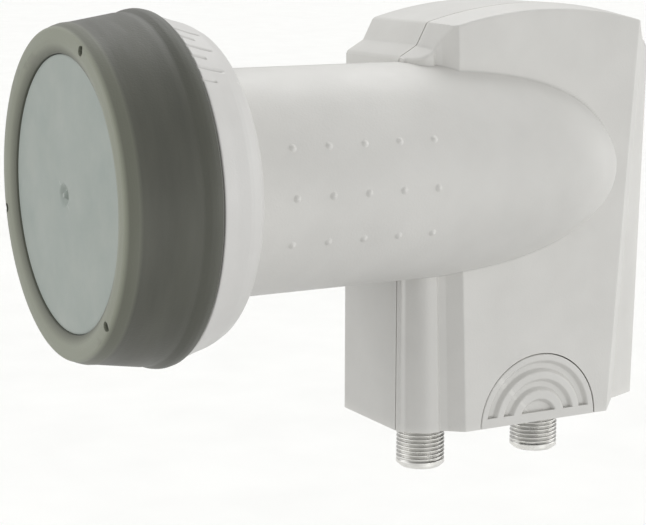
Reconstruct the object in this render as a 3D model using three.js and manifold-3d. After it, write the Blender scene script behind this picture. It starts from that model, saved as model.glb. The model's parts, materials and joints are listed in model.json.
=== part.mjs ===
// Low-noise block converter for a dish antenna: a feed with a 40 mm clamp neck, a two-part weather housing
// hanging behind it, and a sliding shield that drops over the two coaxial outputs.
//
// Millimetres, +Z up. The feed axis is Y and the feed looks along -Y. The origin is on the feed axis, in the
// middle of the neck, where the dish arm's clamp holds it. +X is the side with the bulge.
import * as THREE from "three";
import { mergeVertices } from "three/addons/utils/BufferGeometryUtils.js";
import Module from "manifold-3d";

const wasm = await Module();
wasm.setup();

// ---- Driving dimensions ------------------------------------------------------------------------------

const FIT = 0.3; // between pieces that touch or are pressed together
const SLIDE = 0.5; // between the sliding shield and its housing

// Neck and housing shells
const NECK_R = 20; // the standard 40 mm feed clamp
const NECK_LENGTH = 39;
const SHELL_WALL = 2;
const BODY_DEPTH = 57.5; // front face to rear face, at the bottom edge
const REAR_LEAN = 1.7; // how far the rear face has moved outwards by the top
const BODY_TOP = 30.2; // top of the arched roof, above the feed axis
const BODY_BOTTOM = -49.2;
const PANEL_X = 7.2; // outer face of the near shell's flat panel
const ROOF_SHOULDER = 20.8; // where the front and rear faces end
const LEDGE_DEPTH = 3.7; // the roof's first step, at each end
const LEDGE_RISE = 2.1;
const RISER_DEPTH = 2.2; // its second step
const RISER_HEIGHT = 4.1;
const ROOF_DRAFT = 0.9; // how far the roof falls from the seam to the panel
const STEP_DRAFT = 1.6; // how far the roof's steps draw in from the seam to the panel

// Near panel outline, measured from the front and rear faces at the bottom edge
const PANEL_FRONT = 11.1;
const PANEL_REAR = 13.6;
const SEAM_REAR = 7;
const PANEL_FRONT_LEAN = 2.9; // how far each edge has moved outwards by the top
const PANEL_REAR_LEAN = 5.1;
const REAR_CORNER_X = -2.8;
const BULGE_GAP = 14.6; // from the bulge's tip to the rear face

// Front corner of the near shell from above: X, distance behind the front face, and share of the panel's lean
const CORNER_LIP = [1.5, 0, 0];
const CORNER_GROOVE = [1.73, 1.1, 0.2];
const COLUMN_START = [2.6, 1.9, 0.5];
const COLUMN_END = [4.95, 6.45, 0.8];
const COLUMN_ROUND = 0.75; // how far the column is rounded out
const CORNER_SLOT = [4.8, 7.2, 0.8];
const FLANK_START = [5.3, 8.35, 0.85];

// Feed
const HORN_R = 26.5;
const HORN_LENGTH = 12.5;
const GUIDE_R = 8.75;
const GUIDE_WALL = 2;
const GUIDE_END = 2.5; // thickness of its closed end
const GUIDE_SHORT = 11.7; // from the waveguide's closed end to the bulge's tip
const RIM_WALL = 1.5;
const RIM_COUNT = 2; // choke rings inside the horn's own rim
const COLLAR_LENGTH = 10.5;
const COLLAR_WALL = 2.4;
const NECK_SHOULDER = 4; // how far the neck goes on inside the collar
const CAP_LENGTH = 16.1;
const CAP_WALL = 2.5;
const CAP_CLEARANCE = 0.7; // between the cap and the horn, where the seal sits
const WINDOW_R = 23.4;
const WINDOW_DEPTH = 1.1; // how far the window lies behind the rim
const WINDOW_THICKNESS = 1.8;
const WINDOW_FLANGE = 2.4; // how far its flange reaches behind the rim
const FLANGE_THICKNESS = 1;
const SEAL_DEPTH = 6.5; // from the horn's front to the seal's middle
const SEAL_SECTION = 0.8;
const CHOKE_DEPTH = 4.5;
const CHOKE_STEP = 0.4; // each choke ring ends this much behind the one outside it

// Sliding shield
const SHIELD_WALL = 1.5;
const SHIELD_HEIGHT = 26;
const PAD_R = 13.1;
const PAD_RINGS = [[9.6, 12], [6, 8.3], [0, 4.3]]; // inner and outer radius of each groove
const PAD_GROOVE = 0.8;
const PAD_SILL = 1.8; // plain strip under the grooves
const PAD_MIDDLE = 27.7; // behind the housing's front face

// Casting, board and lid
const TRAY_WALL = 2;
const TRAY_BOTTOM = -37;
const TRAY_FRONT_GAP = 6; // from the housing's front face
const TRAY_REAR_GAP = 7;
const TRAY_TOP_GAP = 1.8; // below the roof's shoulder
const TRAY_DEPTH = 2.3; // side walls above the floor
const BOARD = 1;
const GASKET = 0.7;
const LID = 1.2;
const LID_SCREW_R = 1.1;
const LID_BOSS_R = 2.6;
const CHAMBER = { front: 11, length: 35, z: [-17, 15], rise: 1.7, wall: 1 };
const LID_ROOM = 0.75; // between the lid's chamber and the far shell
const PROBE_R = 0.6;
const PROBE_TIP = 4.2; // how far each probe's end stays from the feed axis
const PROBE_DEPTH = 13.5; // from the housing's front face to the first probe
const PROBE_SPACING = 12;
const PROBE_RISE = 3.4; // how far above the waveguide the second probe crosses it
const PROBE_BLOCK = 3.4; // half the length of the block that it crosses in
const BEAD_R = 1.9;
const POST_R = 0.8;
const RESONATOR_Z = -8;
const RESONATOR_SPACING = 15;
const RESONATOR_R = 3;
const RESONATOR_HEIGHT = 2.2;
const TUNER_R = 1.5;

// Packaged parts on the board: across, tall and thick
const CONVERTER_CHIP = [5, 5, 0.9];
const CONVERTER_Z = 4;
const CONVERTER_GAP = 11; // from the tray's ends to a converter chip's middle
const SWITCH_CHIP = [7, 5, 1.1];
const SWITCH_Z = 8;
const REGULATOR = [6.5, 3.5, 1.1];
const REGULATOR_Z = -27;
const REGULATOR_OFFSET = 3.25; // behind the middle of the two outputs
const CHOKE = [3, 3, 1];
const CHOKE_RISE = 4; // above the end of an output's contact

// Coaxial outputs
const PORT_MIDDLE = 25.5; // behind the housing's front face
const PORT_SPACING = 27;
const PORT_THREAD_R = 4.75; // 3/8-32 thread
const PORT_TIP = -60;
const PORT_BLOCK_BOTTOM = -45;
const PORT_BLOCK_X = [-4.6, 6.5]; // the block's sides from the outputs' axes
const PORT_BLOCK_END = 6; // how far it goes past them
const PORT_THREAD_GAP = 1.4; // from the block to the thread, filled by the washer
const PORT_CHAMFER = [0.5, 0.6];
const PORT_SHANK_R = 4.1;
const PORT_BORE_R = 3.2;
const PORT_CONTACT_R = 0.4;

const ROUND = 48; // facets of a large turned piece
const SMALL_ROUND = 20; // and of a small one

// ---- Derived places -----------------------------------------------------------------------------------

const FRONT_Y = NECK_LENGTH / 2;
const REAR_Y = FRONT_Y + BODY_DEPTH;
const MIDDLE_Y = (FRONT_Y + REAR_Y) / 2;
const PAD_Y = FRONT_Y + PAD_MIDDLE;
const PORT_MIDDLE_Y = FRONT_Y + PORT_MIDDLE;
const BULGE_TIP = REAR_Y - BULGE_GAP;
const GUIDE_BACK = BULGE_TIP - GUIDE_SHORT;
const COLLAR_REAR = -NECK_LENGTH / 2;
const COLLAR_FRONT = COLLAR_REAR - COLLAR_LENGTH;
const CAP_REAR = COLLAR_FRONT - FIT;
const CAP_FRONT = CAP_REAR - CAP_LENGTH;
const WINDOW_FACE = CAP_FRONT + WINDOW_DEPTH;
const WINDOW_BACK = WINDOW_FACE + WINDOW_THICKNESS;
const CAP_BORE = HORN_R + CAP_CLEARANCE;
const CAP_R = CAP_BORE + CAP_WALL;
const FLANGE_BACK = WINDOW_BACK + FLANGE_THICKNESS;
const HORN_FRONT = FLANGE_BACK + 2 * FIT;
const HORN_BACK = HORN_FRONT + HORN_LENGTH;
const GUIDE_OUT_R = GUIDE_R + GUIDE_WALL;
const NECK_FRONT = COLLAR_REAR - NECK_SHOULDER;
const SEAL_Y = HORN_FRONT + SEAL_DEPTH;

const FLOOR_X = -GUIDE_OUT_R;
const WALL_X = FLOOR_X - TRAY_DEPTH;
const BOARD_X = FLOOR_X - FIT;
const PORT_X = BOARD_X + FIT + PORT_CONTACT_R; // the contact lies on the back of the board
const PARTS_X = BOARD_X - BOARD - FIT;
const LID_X = WALL_X - GASKET - 2 * FIT;
const LID_OUT_X = LID_X - LID;
const FAR_X = LID_OUT_X - CHAMBER.rise - LID_ROOM - SHELL_WALL; // outer face of the far shell
const TRAY_TOP = ROOF_SHOULDER - TRAY_TOP_GAP;
const TRAY_FRONT = FRONT_Y + TRAY_FRONT_GAP;
const TRAY_REAR = REAR_Y - TRAY_REAR_GAP;
const PORTS_Y = [-0.5, 0.5].map((side) => PORT_MIDDLE_Y + side * PORT_SPACING);
const THREAD_TOP = PORT_BLOCK_BOTTOM - PORT_THREAD_GAP;
const PORT_SHANK_TOP = TRAY_BOTTOM - 1.5;
const PIN_TOP = TRAY_BOTTOM + TRAY_WALL + 3;
const PROBE_H_Y = FRONT_Y + PROBE_DEPTH;
const PROBE_V_Y = PROBE_H_Y + PROBE_SPACING;
const POST_Y = (PROBE_H_Y + PROBE_V_Y) / 2;
const PROBE_V_Z = GUIDE_OUT_R + PROBE_RISE;
const RESONATORS_Y = [-0.5, 0.5].map((side) => MIDDLE_Y + side * RESONATOR_SPACING);

// Six screws round the lid, over the tray's walls, as places in Y and Z.
const lidScrews = [TRAY_TOP - 3.4, (TRAY_TOP + TRAY_BOTTOM) / 2, TRAY_BOTTOM + 3.6].flatMap((z) => [
  [TRAY_FRONT + 2.7, z],
  [TRAY_REAR - 2.7, z],
]);

// ---- Solids ---------------------------------------------------------------------------------------------

// The solid inside a closed geometry. A profile that runs the other way round gives an inside-out
// surface, and its triangles are turned.
function solid(geometry) {
  const bare = geometry.clone();
  bare.deleteAttribute("normal");
  bare.deleteAttribute("uv");
  const merged = mergeVertices(bare, 1e-4);
  const make = (triVerts) =>
    new wasm.Manifold(
      new wasm.Mesh({ numProp: 3, vertProperties: merged.attributes.position.array, triVerts }),
    );
  const index = Uint32Array.from(merged.index.array);
  const made = make(index);
  return made.volume() > 0 ? made : make(index.reverse());
}

const join = (first, ...others) => others.reduce((whole, piece) => whole.add(piece), first);
const cut = (first, ...others) => others.reduce((whole, piece) => whole.subtract(piece), first);

function geometryOf(made) {
  const mesh = made.getMesh();
  const geometry = new THREE.BufferGeometry();
  geometry.setAttribute("position", new THREE.BufferAttribute(mesh.vertProperties, 3));
  geometry.setIndex(new THREE.BufferAttribute(mesh.triVerts, 1));
  geometry.computeVertexNormals();
  return geometry;
}

function box([x0, x1], [y0, y1], [z0, z1]) {
  const geometry = new THREE.BoxGeometry(x1 - x0, y1 - y0, z1 - z0);
  return solid(geometry.translate((x0 + x1) / 2, (y0 + y1) / 2, (z0 + z1) / 2));
}

// A turned piece about the Y axis, from points of radius and place along the axis.
function turned(profile, facets = ROUND) {
  return solid(new THREE.LatheGeometry(profile.map(([r, y]) => new THREE.Vector2(r, y)), facets));
}

const AXES = {
  x: new THREE.Matrix4().makeBasis(
    new THREE.Vector3(0, 1, 0),
    new THREE.Vector3(1, 0, 0),
    new THREE.Vector3(0, 0, -1),
  ),
  y: new THREE.Matrix4(),
  z: new THREE.Matrix4().makeBasis(
    new THREE.Vector3(1, 0, 0),
    new THREE.Vector3(0, 0, 1),
    new THREE.Vector3(0, -1, 0),
  ),
};

// A turned piece about a line along one axis: its profile's second value is the place along that axis.
function turnedOn(axis, [x, y, z], profile, facets = SMALL_ROUND) {
  const points = profile.map(([r, along]) => new THREE.Vector2(r, along));
  const geometry = new THREE.LatheGeometry(points, facets).applyMatrix4(AXES[axis]);
  return solid(geometry.translate(x, y, z));
}

function rod(axis, at, r, from, to, facets = SMALL_ROUND) {
  return turnedOn(axis, at, [[0, from], [r, from], [r, to], [0, to]], facets);
}

function pipe(axis, at, inner, outer, from, to, facets = SMALL_ROUND) {
  const profile = [[inner, from], [outer, from], [outer, to], [inner, to], [inner, from]];
  return turnedOn(axis, at, profile, facets);
}

// An outline in (Y, Z) carried along X.
function slabAlongX(outline, x0, x1) {
  const shape = new THREE.Shape(outline);
  const geometry = new THREE.ExtrudeGeometry(shape, { depth: x1 - x0, bevelEnabled: false });
  const turn = new THREE.Matrix4().makeBasis(
    new THREE.Vector3(0, 1, 0),
    new THREE.Vector3(0, 0, 1),
    new THREE.Vector3(1, 0, 0),
  );
  return solid(geometry.applyMatrix4(turn).translate(x0, 0, 0));
}

// A straight-sided solid between two outlines with the same number of points, at two places along an axis.
function ruled(startOutline, endOutline, start, end, place) {
  const geometry = new THREE.ExtrudeGeometry(new THREE.Shape(startOutline), {
    depth: 1,
    bevelEnabled: false,
  });
  const position = geometry.getAttribute("position");
  const point = new THREE.Vector3();
  for (let i = 0; i < position.count; i++) {
    point.fromBufferAttribute(position, i);
    const near = startOutline.map((p) => Math.hypot(p.x - point.x, p.y - point.y));
    const k = near.indexOf(Math.min(...near));
    const moved = point.z > 0.5 ? endOutline[k] : startOutline[k];
    place(point, moved.x, moved.y, point.z > 0.5 ? end : start);
    position.setXYZ(i, point.x, point.y, point.z);
  }
  return solid(geometry);
}

const ruledAlongZ = (low, high, z0, z1) =>
  ruled(low, high, z0, z1, (point, a, b, along) => point.set(a, b, along));
const ruledAlongX = (near, far, x0, x1) =>
  ruled(near, far, x0, x1, (point, a, b, along) => point.set(along, a, b));

// Moves each edge of a closed outline, given anticlockwise, inwards by a distance.
function inset(outline, distance) {
  const count = outline.length;
  return outline.map((corner, i) => {
    const before = new THREE.Vector2().subVectors(corner, outline[(i + count - 1) % count]).normalize();
    const after = new THREE.Vector2().subVectors(outline[(i + 1) % count], corner).normalize();
    const half = new THREE.Vector2(-before.y - after.y, before.x + after.x).normalize();
    const reach = distance / (half.x * -before.y + half.y * before.x);
    return corner.clone().addScaledVector(half, reach);
  });
}

const vectors = (pairs) => pairs.map(([a, b]) => new THREE.Vector2(a, b));

// ---- Housing outlines -----------------------------------------------------------------------------------

// The housing from above, with its draft: 0 at the bottom edge and 1 at the roof.
function plan(height) {
  const panelFront = FRONT_Y + PANEL_FRONT - PANEL_FRONT_LEAN * height;
  const panelRear = REAR_Y - PANEL_REAR + PANEL_REAR_LEAN * height;
  const seamRear = REAR_Y - SEAM_REAR + PANEL_REAR_LEAN * height;
  const rear = REAR_Y + REAR_LEAN * height;
  return vectors([
    [FAR_X, FRONT_Y],
    [0, FRONT_Y],
    [PANEL_X, panelFront],
    [PANEL_X, panelRear],
    [0, seamRear],
    [REAR_CORNER_X, rear],
    [FAR_X, rear],
  ]);
}

// The near shell from above. Its front corner is a groove, a rounded column and a recessed flank.
function nearPlan(height) {
  const [, seam, panelFront, panelRear, seamRear] = plan(height);
  const corner = ([x, back, share]) =>
    new THREE.Vector2(x, FRONT_Y + back - share * PANEL_FRONT_LEAN * height);
  const outwards = new THREE.Vector2(0.88, -0.47);
  const steps = 5;
  const column = [];
  for (let i = 0; i <= steps; i++) {
    const along = corner(COLUMN_START).lerp(corner(COLUMN_END), i / steps);
    column.push(along.addScaledVector(outwards, COLUMN_ROUND * Math.sin((Math.PI * i) / steps)));
  }
  const front = [seam, corner(CORNER_LIP), corner(CORNER_GROOVE), ...column];
  return [...front, corner(CORNER_SLOT), corner(FLANK_START), panelFront, panelRear, seamRear];
}

// The housing from the side: plain faces, a ledge and a riser at each end, and an arched roof.
function side(top, stepDrift) {
  const front = [
    [FRONT_Y, BODY_BOTTOM],
    [FRONT_Y, ROOF_SHOULDER + top - BODY_TOP],
    [FRONT_Y + LEDGE_DEPTH + stepDrift, ROOF_SHOULDER + LEDGE_RISE + top - BODY_TOP],
  ];
  const archFront = FRONT_Y + LEDGE_DEPTH + RISER_DEPTH + stepDrift;
  const archEnd = ROOF_SHOULDER + LEDGE_RISE + RISER_HEIGHT + top - BODY_TOP;
  const half = MIDDLE_Y - archFront;
  const rise = top - archEnd;
  const radius = (half * half + rise * rise) / (2 * rise);
  const spread = Math.asin(half / radius);
  const arch = [];
  for (let i = 0; i <= 12; i++) {
    const angle = -spread + (2 * spread * i) / 12;
    arch.push([MIDDLE_Y + radius * Math.sin(angle), top - radius + radius * Math.cos(angle)]);
  }
  const rear = front.map(([y, z]) => [2 * MIDDLE_Y - y + REAR_LEAN, z]).reverse();
  return vectors([...front, ...arch, ...rear]).reverse();
}

const BELOW = BODY_BOTTOM - 5; // past the open bottom edge
const ABOVE = BODY_TOP + 5;

// Where a draft of 0 at the bottom and 1 at the roof shoulder has got to at another height.
const draftAt = (z) => (z - BODY_BOTTOM) / (ROOF_SHOULDER + 5 - BODY_BOTTOM);

const leaning = (outlineAt, z0, z1) => ruledAlongZ(outlineAt(draftAt(z0)), outlineAt(draftAt(z1)), z0, z1);

// ---- The waveguide bulge and the neck it grows from -----------------------------------------------------

// A blunt-nosed cylinder about the feed axis: round in the neck, narrower up and down towards its tip than it
// is outwards, and closed at the tip.
function bullet(r, tip, from) {
  const rings = 16;
  const profile = [[0, from], [r, from]];
  for (let i = 0; i <= rings; i++) {
    const along = Math.sin((Math.PI / 2) * (i / rings));
    profile.push([r * Math.pow(1 - Math.pow(along, 2.2), 0.4), FRONT_Y + (tip - FRONT_Y) * along]);
  }
  profile[profile.length - 1][0] = 0;
  const geometry = new THREE.LatheGeometry(
    profile.map(([radius, y]) => new THREE.Vector2(radius, y)),
    ROUND,
  );
  const position = geometry.getAttribute("position");
  for (let i = 0; i < position.count; i++) {
    const along = (position.getY(i) - FRONT_Y) / (tip - FRONT_Y);
    if (along > 0 && along < 0.9999) {
      const outwards = Math.pow(1 - Math.pow(along, 5), 0.35) / Math.pow(1 - Math.pow(along, 2.2), 0.4);
      position.setX(i, position.getX(i) * outwards);
    }
  }
  return solid(geometry);
}

const neckOutside = bullet(NECK_R, BULGE_TIP, NECK_FRONT);
const neckInside = bullet(NECK_R - SHELL_WALL, BULGE_TIP - SHELL_WALL, NECK_FRONT - 1);
const neckTube = rod("y", [0, 0, 0], NECK_R, NECK_FRONT, FRONT_Y + SHELL_WALL / 2, ROUND);
const neckBore = rod("y", [0, 0, 0], NECK_R - SHELL_WALL, NECK_FRONT - 1, FRONT_Y + 2 * SHELL_WALL, ROUND);

const nearSide = box([FIT / 2, 2 * NECK_R], [NECK_FRONT - 9, REAR_Y + 9], [BELOW - 9, ABOVE + 9]);
const farSide = box([-2 * NECK_R, -FIT / 2], [NECK_FRONT - 9, REAR_Y + 9], [BELOW - 9, ABOVE + 9]);

const cavity = leaning((height) => inset(plan(height), SHELL_WALL), BELOW, ABOVE).intersect(
  slabAlongX(
    inset(side(BODY_TOP - ROOF_DRAFT, 0), SHELL_WALL).map((p) => (p.y < BODY_BOTTOM + 9 ? p.setY(BELOW) : p)),
    FAR_X,
    PANEL_X,
  ),
);

// ---- The shield's pads ------------------------------------------------------------------------------------

const PAD_Z = BODY_BOTTOM;

// The half-round window that a pad fills, from one face of a wall to the other.
const padWindow = (x0, x1) => rod("x", [0, PAD_Y, PAD_Z], PAD_R + FIT, x0, x1, ROUND);

// A thumb pad on one side of the shield, with half-round grooves in its outer face.
function pad(inner, face) {
  const [low, high] = [Math.min(inner, face), Math.max(inner, face)];
  const outwards = Math.sign(face - inner);
  const upper = box([low - 9, high + 9], [PAD_Y - 2 * PAD_R, PAD_Y + 2 * PAD_R], [PAD_Z, PAD_Z + 2 * PAD_R]);
  const aboveSill = box(
    [low - 9, high + 9],
    [PAD_Y - 2 * PAD_R, PAD_Y + 2 * PAD_R],
    [PAD_Z + PAD_SILL, PAD_Z + 2 * PAD_R],
  );
  const floor = face - outwards * PAD_GROOVE;
  const [from, to] = [Math.min(floor, face + outwards), Math.max(floor, face + outwards)];
  const grooves = PAD_RINGS.map(([small, large]) => {
    const at = [0, PAD_Y, PAD_Z];
    const disc = rod("x", at, large, from, to, ROUND);
    const ring = small > 0 ? pipe("x", at, small, large, from, to, ROUND) : disc;
    return ring.intersect(aboveSill);
  });
  return cut(rod("x", [0, PAD_Y, PAD_Z], PAD_R, low, high, ROUND).intersect(upper), ...grooves);
}

// ---- Pieces --------------------------------------------------------------------------------------------

function nearShell() {
  const panel = leaning(nearPlan, BODY_BOTTOM, ABOVE).intersect(
    ruledAlongX(side(BODY_TOP, 0), side(BODY_TOP - ROOF_DRAFT, STEP_DRAFT), 0, PANEL_X),
  );
  const whole = cut(join(panel, neckOutside), cavity, neckInside, neckBore);
  return cut(whole.intersect(nearSide), padWindow(PANEL_X - 2 * SHELL_WALL, PANEL_X + 1));
}

function farShell() {
  const body = leaning(plan, BODY_BOTTOM, ABOVE).intersect(slabAlongX(side(BODY_TOP, 0), FAR_X, 1));
  const whole = cut(join(body, neckTube), cavity, neckBore);
  return cut(whole.intersect(farSide), padWindow(FAR_X - 1, FAR_X + 2 * SHELL_WALL));
}

function weatherShield() {
  const outside = inset(plan(0), SHELL_WALL + SLIDE);
  const inside = inset(plan(0), SHELL_WALL + SLIDE + SHIELD_WALL);
  const top = BODY_BOTTOM + SHIELD_HEIGHT;
  const sleeve = cut(
    ruledAlongZ(outside, outside, BODY_BOTTOM, top),
    ruledAlongZ(inside, inside, BODY_BOTTOM - 1, top + 1),
  );
  const inwards = SHELL_WALL + SLIDE + SHIELD_WALL / 2;
  return join(sleeve, pad(PANEL_X - inwards, PANEL_X), pad(FAR_X + inwards, FAR_X));
}

// The pale ring behind the cap. Its bore runs on the neck and its skirt hides the back of the horn.
function scaleCollar() {
  const outer = CAP_R + 0.2;
  const rearFace = NECK_R + 2;
  const inner = NECK_R + FIT;
  return turned([
    [outer - COLLAR_WALL, COLLAR_FRONT],
    [outer, COLLAR_FRONT],
    [outer - 1, COLLAR_FRONT + 0.29 * COLLAR_LENGTH],
    [outer - 1.8, COLLAR_FRONT + 0.57 * COLLAR_LENGTH],
    [outer - 3.1, COLLAR_FRONT + 0.77 * COLLAR_LENGTH],
    [outer - 4.9, COLLAR_FRONT + 0.88 * COLLAR_LENGTH],
    [rearFace, COLLAR_REAR - 0.5],
    [inner, COLLAR_REAR],
    [inner, COLLAR_REAR - COLLAR_WALL],
    [outer - 5.6, COLLAR_REAR - COLLAR_WALL - 1.6],
    [outer - 1.8 - COLLAR_WALL, COLLAR_FRONT + 0.3 * COLLAR_LENGTH],
    [outer - COLLAR_WALL, COLLAR_FRONT],
  ]);
}

// The soft outer ring of the cap: a sloping lip round the window, a flat rim, a ridge, a flared side, a bead.
function capRing() {
  const lip = WINDOW_R + FIT;
  return turned([
    [lip, WINDOW_FACE],
    [lip + 1.3, CAP_FRONT + 0.35],
    [lip + 2.3, CAP_FRONT],
    [CAP_R - 1.9, CAP_FRONT + 0.1],
    [CAP_R - 1.6, CAP_FRONT + 0.9],
    [CAP_R - 1.1, CAP_FRONT + 2.3],
    [CAP_R - 0.9, CAP_FRONT + 3.8],
    [CAP_R + 0.35, CAP_REAR - 4.4],
    [CAP_R + 0.25, CAP_REAR - 3.2],
    [CAP_R + 0.8, CAP_REAR - 2.7],
    [CAP_R + 1, CAP_REAR - 1.6],
    [CAP_R + 0.9, CAP_REAR - 0.3],
    [CAP_R + 0.5, CAP_REAR],
    [CAP_BORE, CAP_REAR],
    [CAP_BORE, WINDOW_BACK - FIT],
    [lip, WINDOW_BACK - FIT],
    [lip, WINDOW_FACE],
  ]);
}

// The hard window, with a moulding pip in a shallow dimple and a flange trapped behind the rim.
function capWindow() {
  return turned([
    [0, WINDOW_FACE - 0.4],
    [0.7, WINDOW_FACE - 0.3],
    [1, WINDOW_FACE + 0.3],
    [2.2, WINDOW_FACE],
    [WINDOW_R, WINDOW_FACE],
    [WINDOW_R, WINDOW_BACK],
    [WINDOW_R + WINDOW_FLANGE, WINDOW_BACK],
    [WINDOW_R + WINDOW_FLANGE, FLANGE_BACK],
    [0, FLANGE_BACK],
  ]);
}

function capSeal() {
  const ring = new THREE.TorusGeometry(HORN_R - SEAL_SECTION / 2, SEAL_SECTION, 8, ROUND);
  return solid(ring.rotateX(Math.PI / 2).translate(0, SEAL_Y, 0));
}

// Horn with choke rings, blind waveguide, electronics tray and the block that the outputs screw into.
function castBody() {
  const floorY = HORN_FRONT + CHOKE_DEPTH;
  const pitch = (HORN_R - GUIDE_R - RIM_WALL) / (RIM_COUNT + 1);
  const chokes = [];
  for (let i = RIM_COUNT; i >= 1; i--) {
    const r = GUIDE_R + i * pitch;
    const end = HORN_FRONT + (RIM_COUNT + 1 - i) * CHOKE_STEP;
    chokes.push([r + RIM_WALL, floorY], [r + RIM_WALL, end]);
    chokes.push([r, end], [r, floorY]);
  }
  const feed = turned([
    [0, GUIDE_BACK + GUIDE_END],
    [GUIDE_OUT_R - GUIDE_END, GUIDE_BACK + GUIDE_END],
    [GUIDE_OUT_R, GUIDE_BACK],
    [GUIDE_OUT_R, HORN_BACK + 4],
    [GUIDE_OUT_R + 5, HORN_BACK],
    [HORN_R - 3, HORN_BACK],
    [HORN_R - 3, SEAL_Y + 2],
    [HORN_R, SEAL_Y + 2],
    [HORN_R, SEAL_Y + SEAL_SECTION + FIT],
    [HORN_R - 1.6, SEAL_Y + SEAL_SECTION + FIT],
    [HORN_R - 1.6, SEAL_Y - SEAL_SECTION - FIT],
    [HORN_R, SEAL_Y - SEAL_SECTION - FIT],
    [HORN_R, HORN_FRONT],
    [HORN_R - RIM_WALL, HORN_FRONT],
    [HORN_R - RIM_WALL, floorY],
    ...chokes,
    [GUIDE_R, floorY],
    [GUIDE_R, GUIDE_BACK],
    [0, GUIDE_BACK],
  ]);
  const block = [WALL_X, FLOOR_X + TRAY_WALL];
  const ports = [PORTS_Y[0] - PORT_BLOCK_END, PORTS_Y[1] + PORT_BLOCK_END];
  const blockSides = PORT_BLOCK_X.map((side) => PORT_X + side);
  const tray = cut(
    box(block, [TRAY_FRONT, TRAY_REAR], [TRAY_BOTTOM, TRAY_TOP]),
    box(
      [WALL_X - 1, FLOOR_X],
      [TRAY_FRONT + TRAY_WALL, TRAY_REAR - TRAY_WALL],
      [TRAY_BOTTOM + TRAY_WALL, TRAY_TOP - TRAY_WALL],
    ),
  );
  const bosses = lidScrews.map(([y, z]) => rod("x", [0, y, z], LID_BOSS_R, WALL_X, FLOOR_X + 1));
  const portBlock = join(
    box(blockSides, ports, [PORT_BLOCK_BOTTOM, TRAY_BOTTOM - FIT]),
    box(block, ports, [TRAY_BOTTOM - 1, TRAY_BOTTOM + 0.5]),
  );
  const crossing = [PROBE_V_Y - PROBE_BLOCK, PROBE_V_Y + PROBE_BLOCK];
  const probeBlock = box([FLOOR_X + 0.5, BEAD_R + 1.3], crossing, [GUIDE_R - 1.75, PROBE_V_Z + 3]);
  const holes = [
    rod("y", [0, 0, 0], GUIDE_R, HORN_FRONT - 1, GUIDE_BACK, ROUND),
    rod("x", [0, PROBE_H_Y, 0], BEAD_R + FIT, FLOOR_X - 1, -GUIDE_R + 2),
    rod("z", [0, PROBE_V_Y, 0], BEAD_R + FIT, 4, PROBE_V_Z + 1.4),
    rod("x", [0, PROBE_V_Y, PROBE_V_Z], BEAD_R - 0.5, FLOOR_X - 1, 1.4),
    rod("x", [0, POST_Y, 0], POST_R + FIT, 4, GUIDE_OUT_R + 1),
    ...lidScrews.map(([y, z]) => rod("x", [0, y, z], LID_SCREW_R + FIT, WALL_X - 1, FLOOR_X - 0.2, 12)),
    ...PORTS_Y.flatMap((y) => [
      rod("z", [PORT_X, y, 0], PORT_SHANK_R + FIT, PORT_BLOCK_BOTTOM - 1, PORT_SHANK_TOP + FIT),
      rod("z", [PORT_X, y, 0], 1.5, PORT_SHANK_TOP - 1, PIN_TOP + FIT, 12),
      box([WALL_X + 0.6, PORT_X], [y - 1.5, y + 1.5], [TRAY_BOTTOM + TRAY_WALL - 0.5, PIN_TOP + FIT]),
    ]),
  ];
  return cut(join(feed, tray, ...bosses, portBlock, probeBlock), ...holes);
}

function circuitBoard() {
  const gap = TRAY_WALL + FIT;
  const sheet = box(
    [BOARD_X - BOARD, BOARD_X],
    [TRAY_FRONT + gap, TRAY_REAR - gap],
    [TRAY_BOTTOM + gap, TRAY_TOP - gap],
  );
  const span = [BOARD_X - BOARD - 1, BOARD_X + 1];
  return cut(
    sheet,
    ...lidScrews.map(([y, z]) => rod("x", [0, y, z], LID_BOSS_R + FIT, ...span)),
    rod("x", [0, PROBE_H_Y, 0], PROBE_R + FIT, ...span, 12),
    rod("x", [0, PROBE_V_Y, PROBE_V_Z], PROBE_R + FIT, ...span, 12),
  );
}

function horizontalProbe() {
  return rod("x", [0, PROBE_H_Y, 0], PROBE_R, PARTS_X - 0.4, -PROBE_TIP, 12);
}

// The other probe leaves the board above the waveguide and turns down into it.
function verticalProbe() {
  const bend = 1.5;
  const path = new THREE.CurvePath();
  const start = new THREE.Vector3(PARTS_X - 0.4, PROBE_V_Y, PROBE_V_Z);
  const before = new THREE.Vector3(-bend, PROBE_V_Y, PROBE_V_Z);
  const corner = new THREE.Vector3(0, PROBE_V_Y, PROBE_V_Z);
  const after = new THREE.Vector3(0, PROBE_V_Y, PROBE_V_Z - bend);
  const tip = new THREE.Vector3(0, PROBE_V_Y, PROBE_TIP);
  path.add(new THREE.LineCurve3(start, before));
  path.add(new THREE.QuadraticBezierCurve3(before, corner, after));
  path.add(new THREE.LineCurve3(after, tip));
  const section = new THREE.Shape().absarc(0, 0, PROBE_R, 0, 2 * Math.PI);
  return solid(
    new THREE.ExtrudeGeometry(section, {
      extrudePath: path,
      steps: 24,
      curveSegments: 5,
      bevelEnabled: false,
    }),
  );
}

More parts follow.
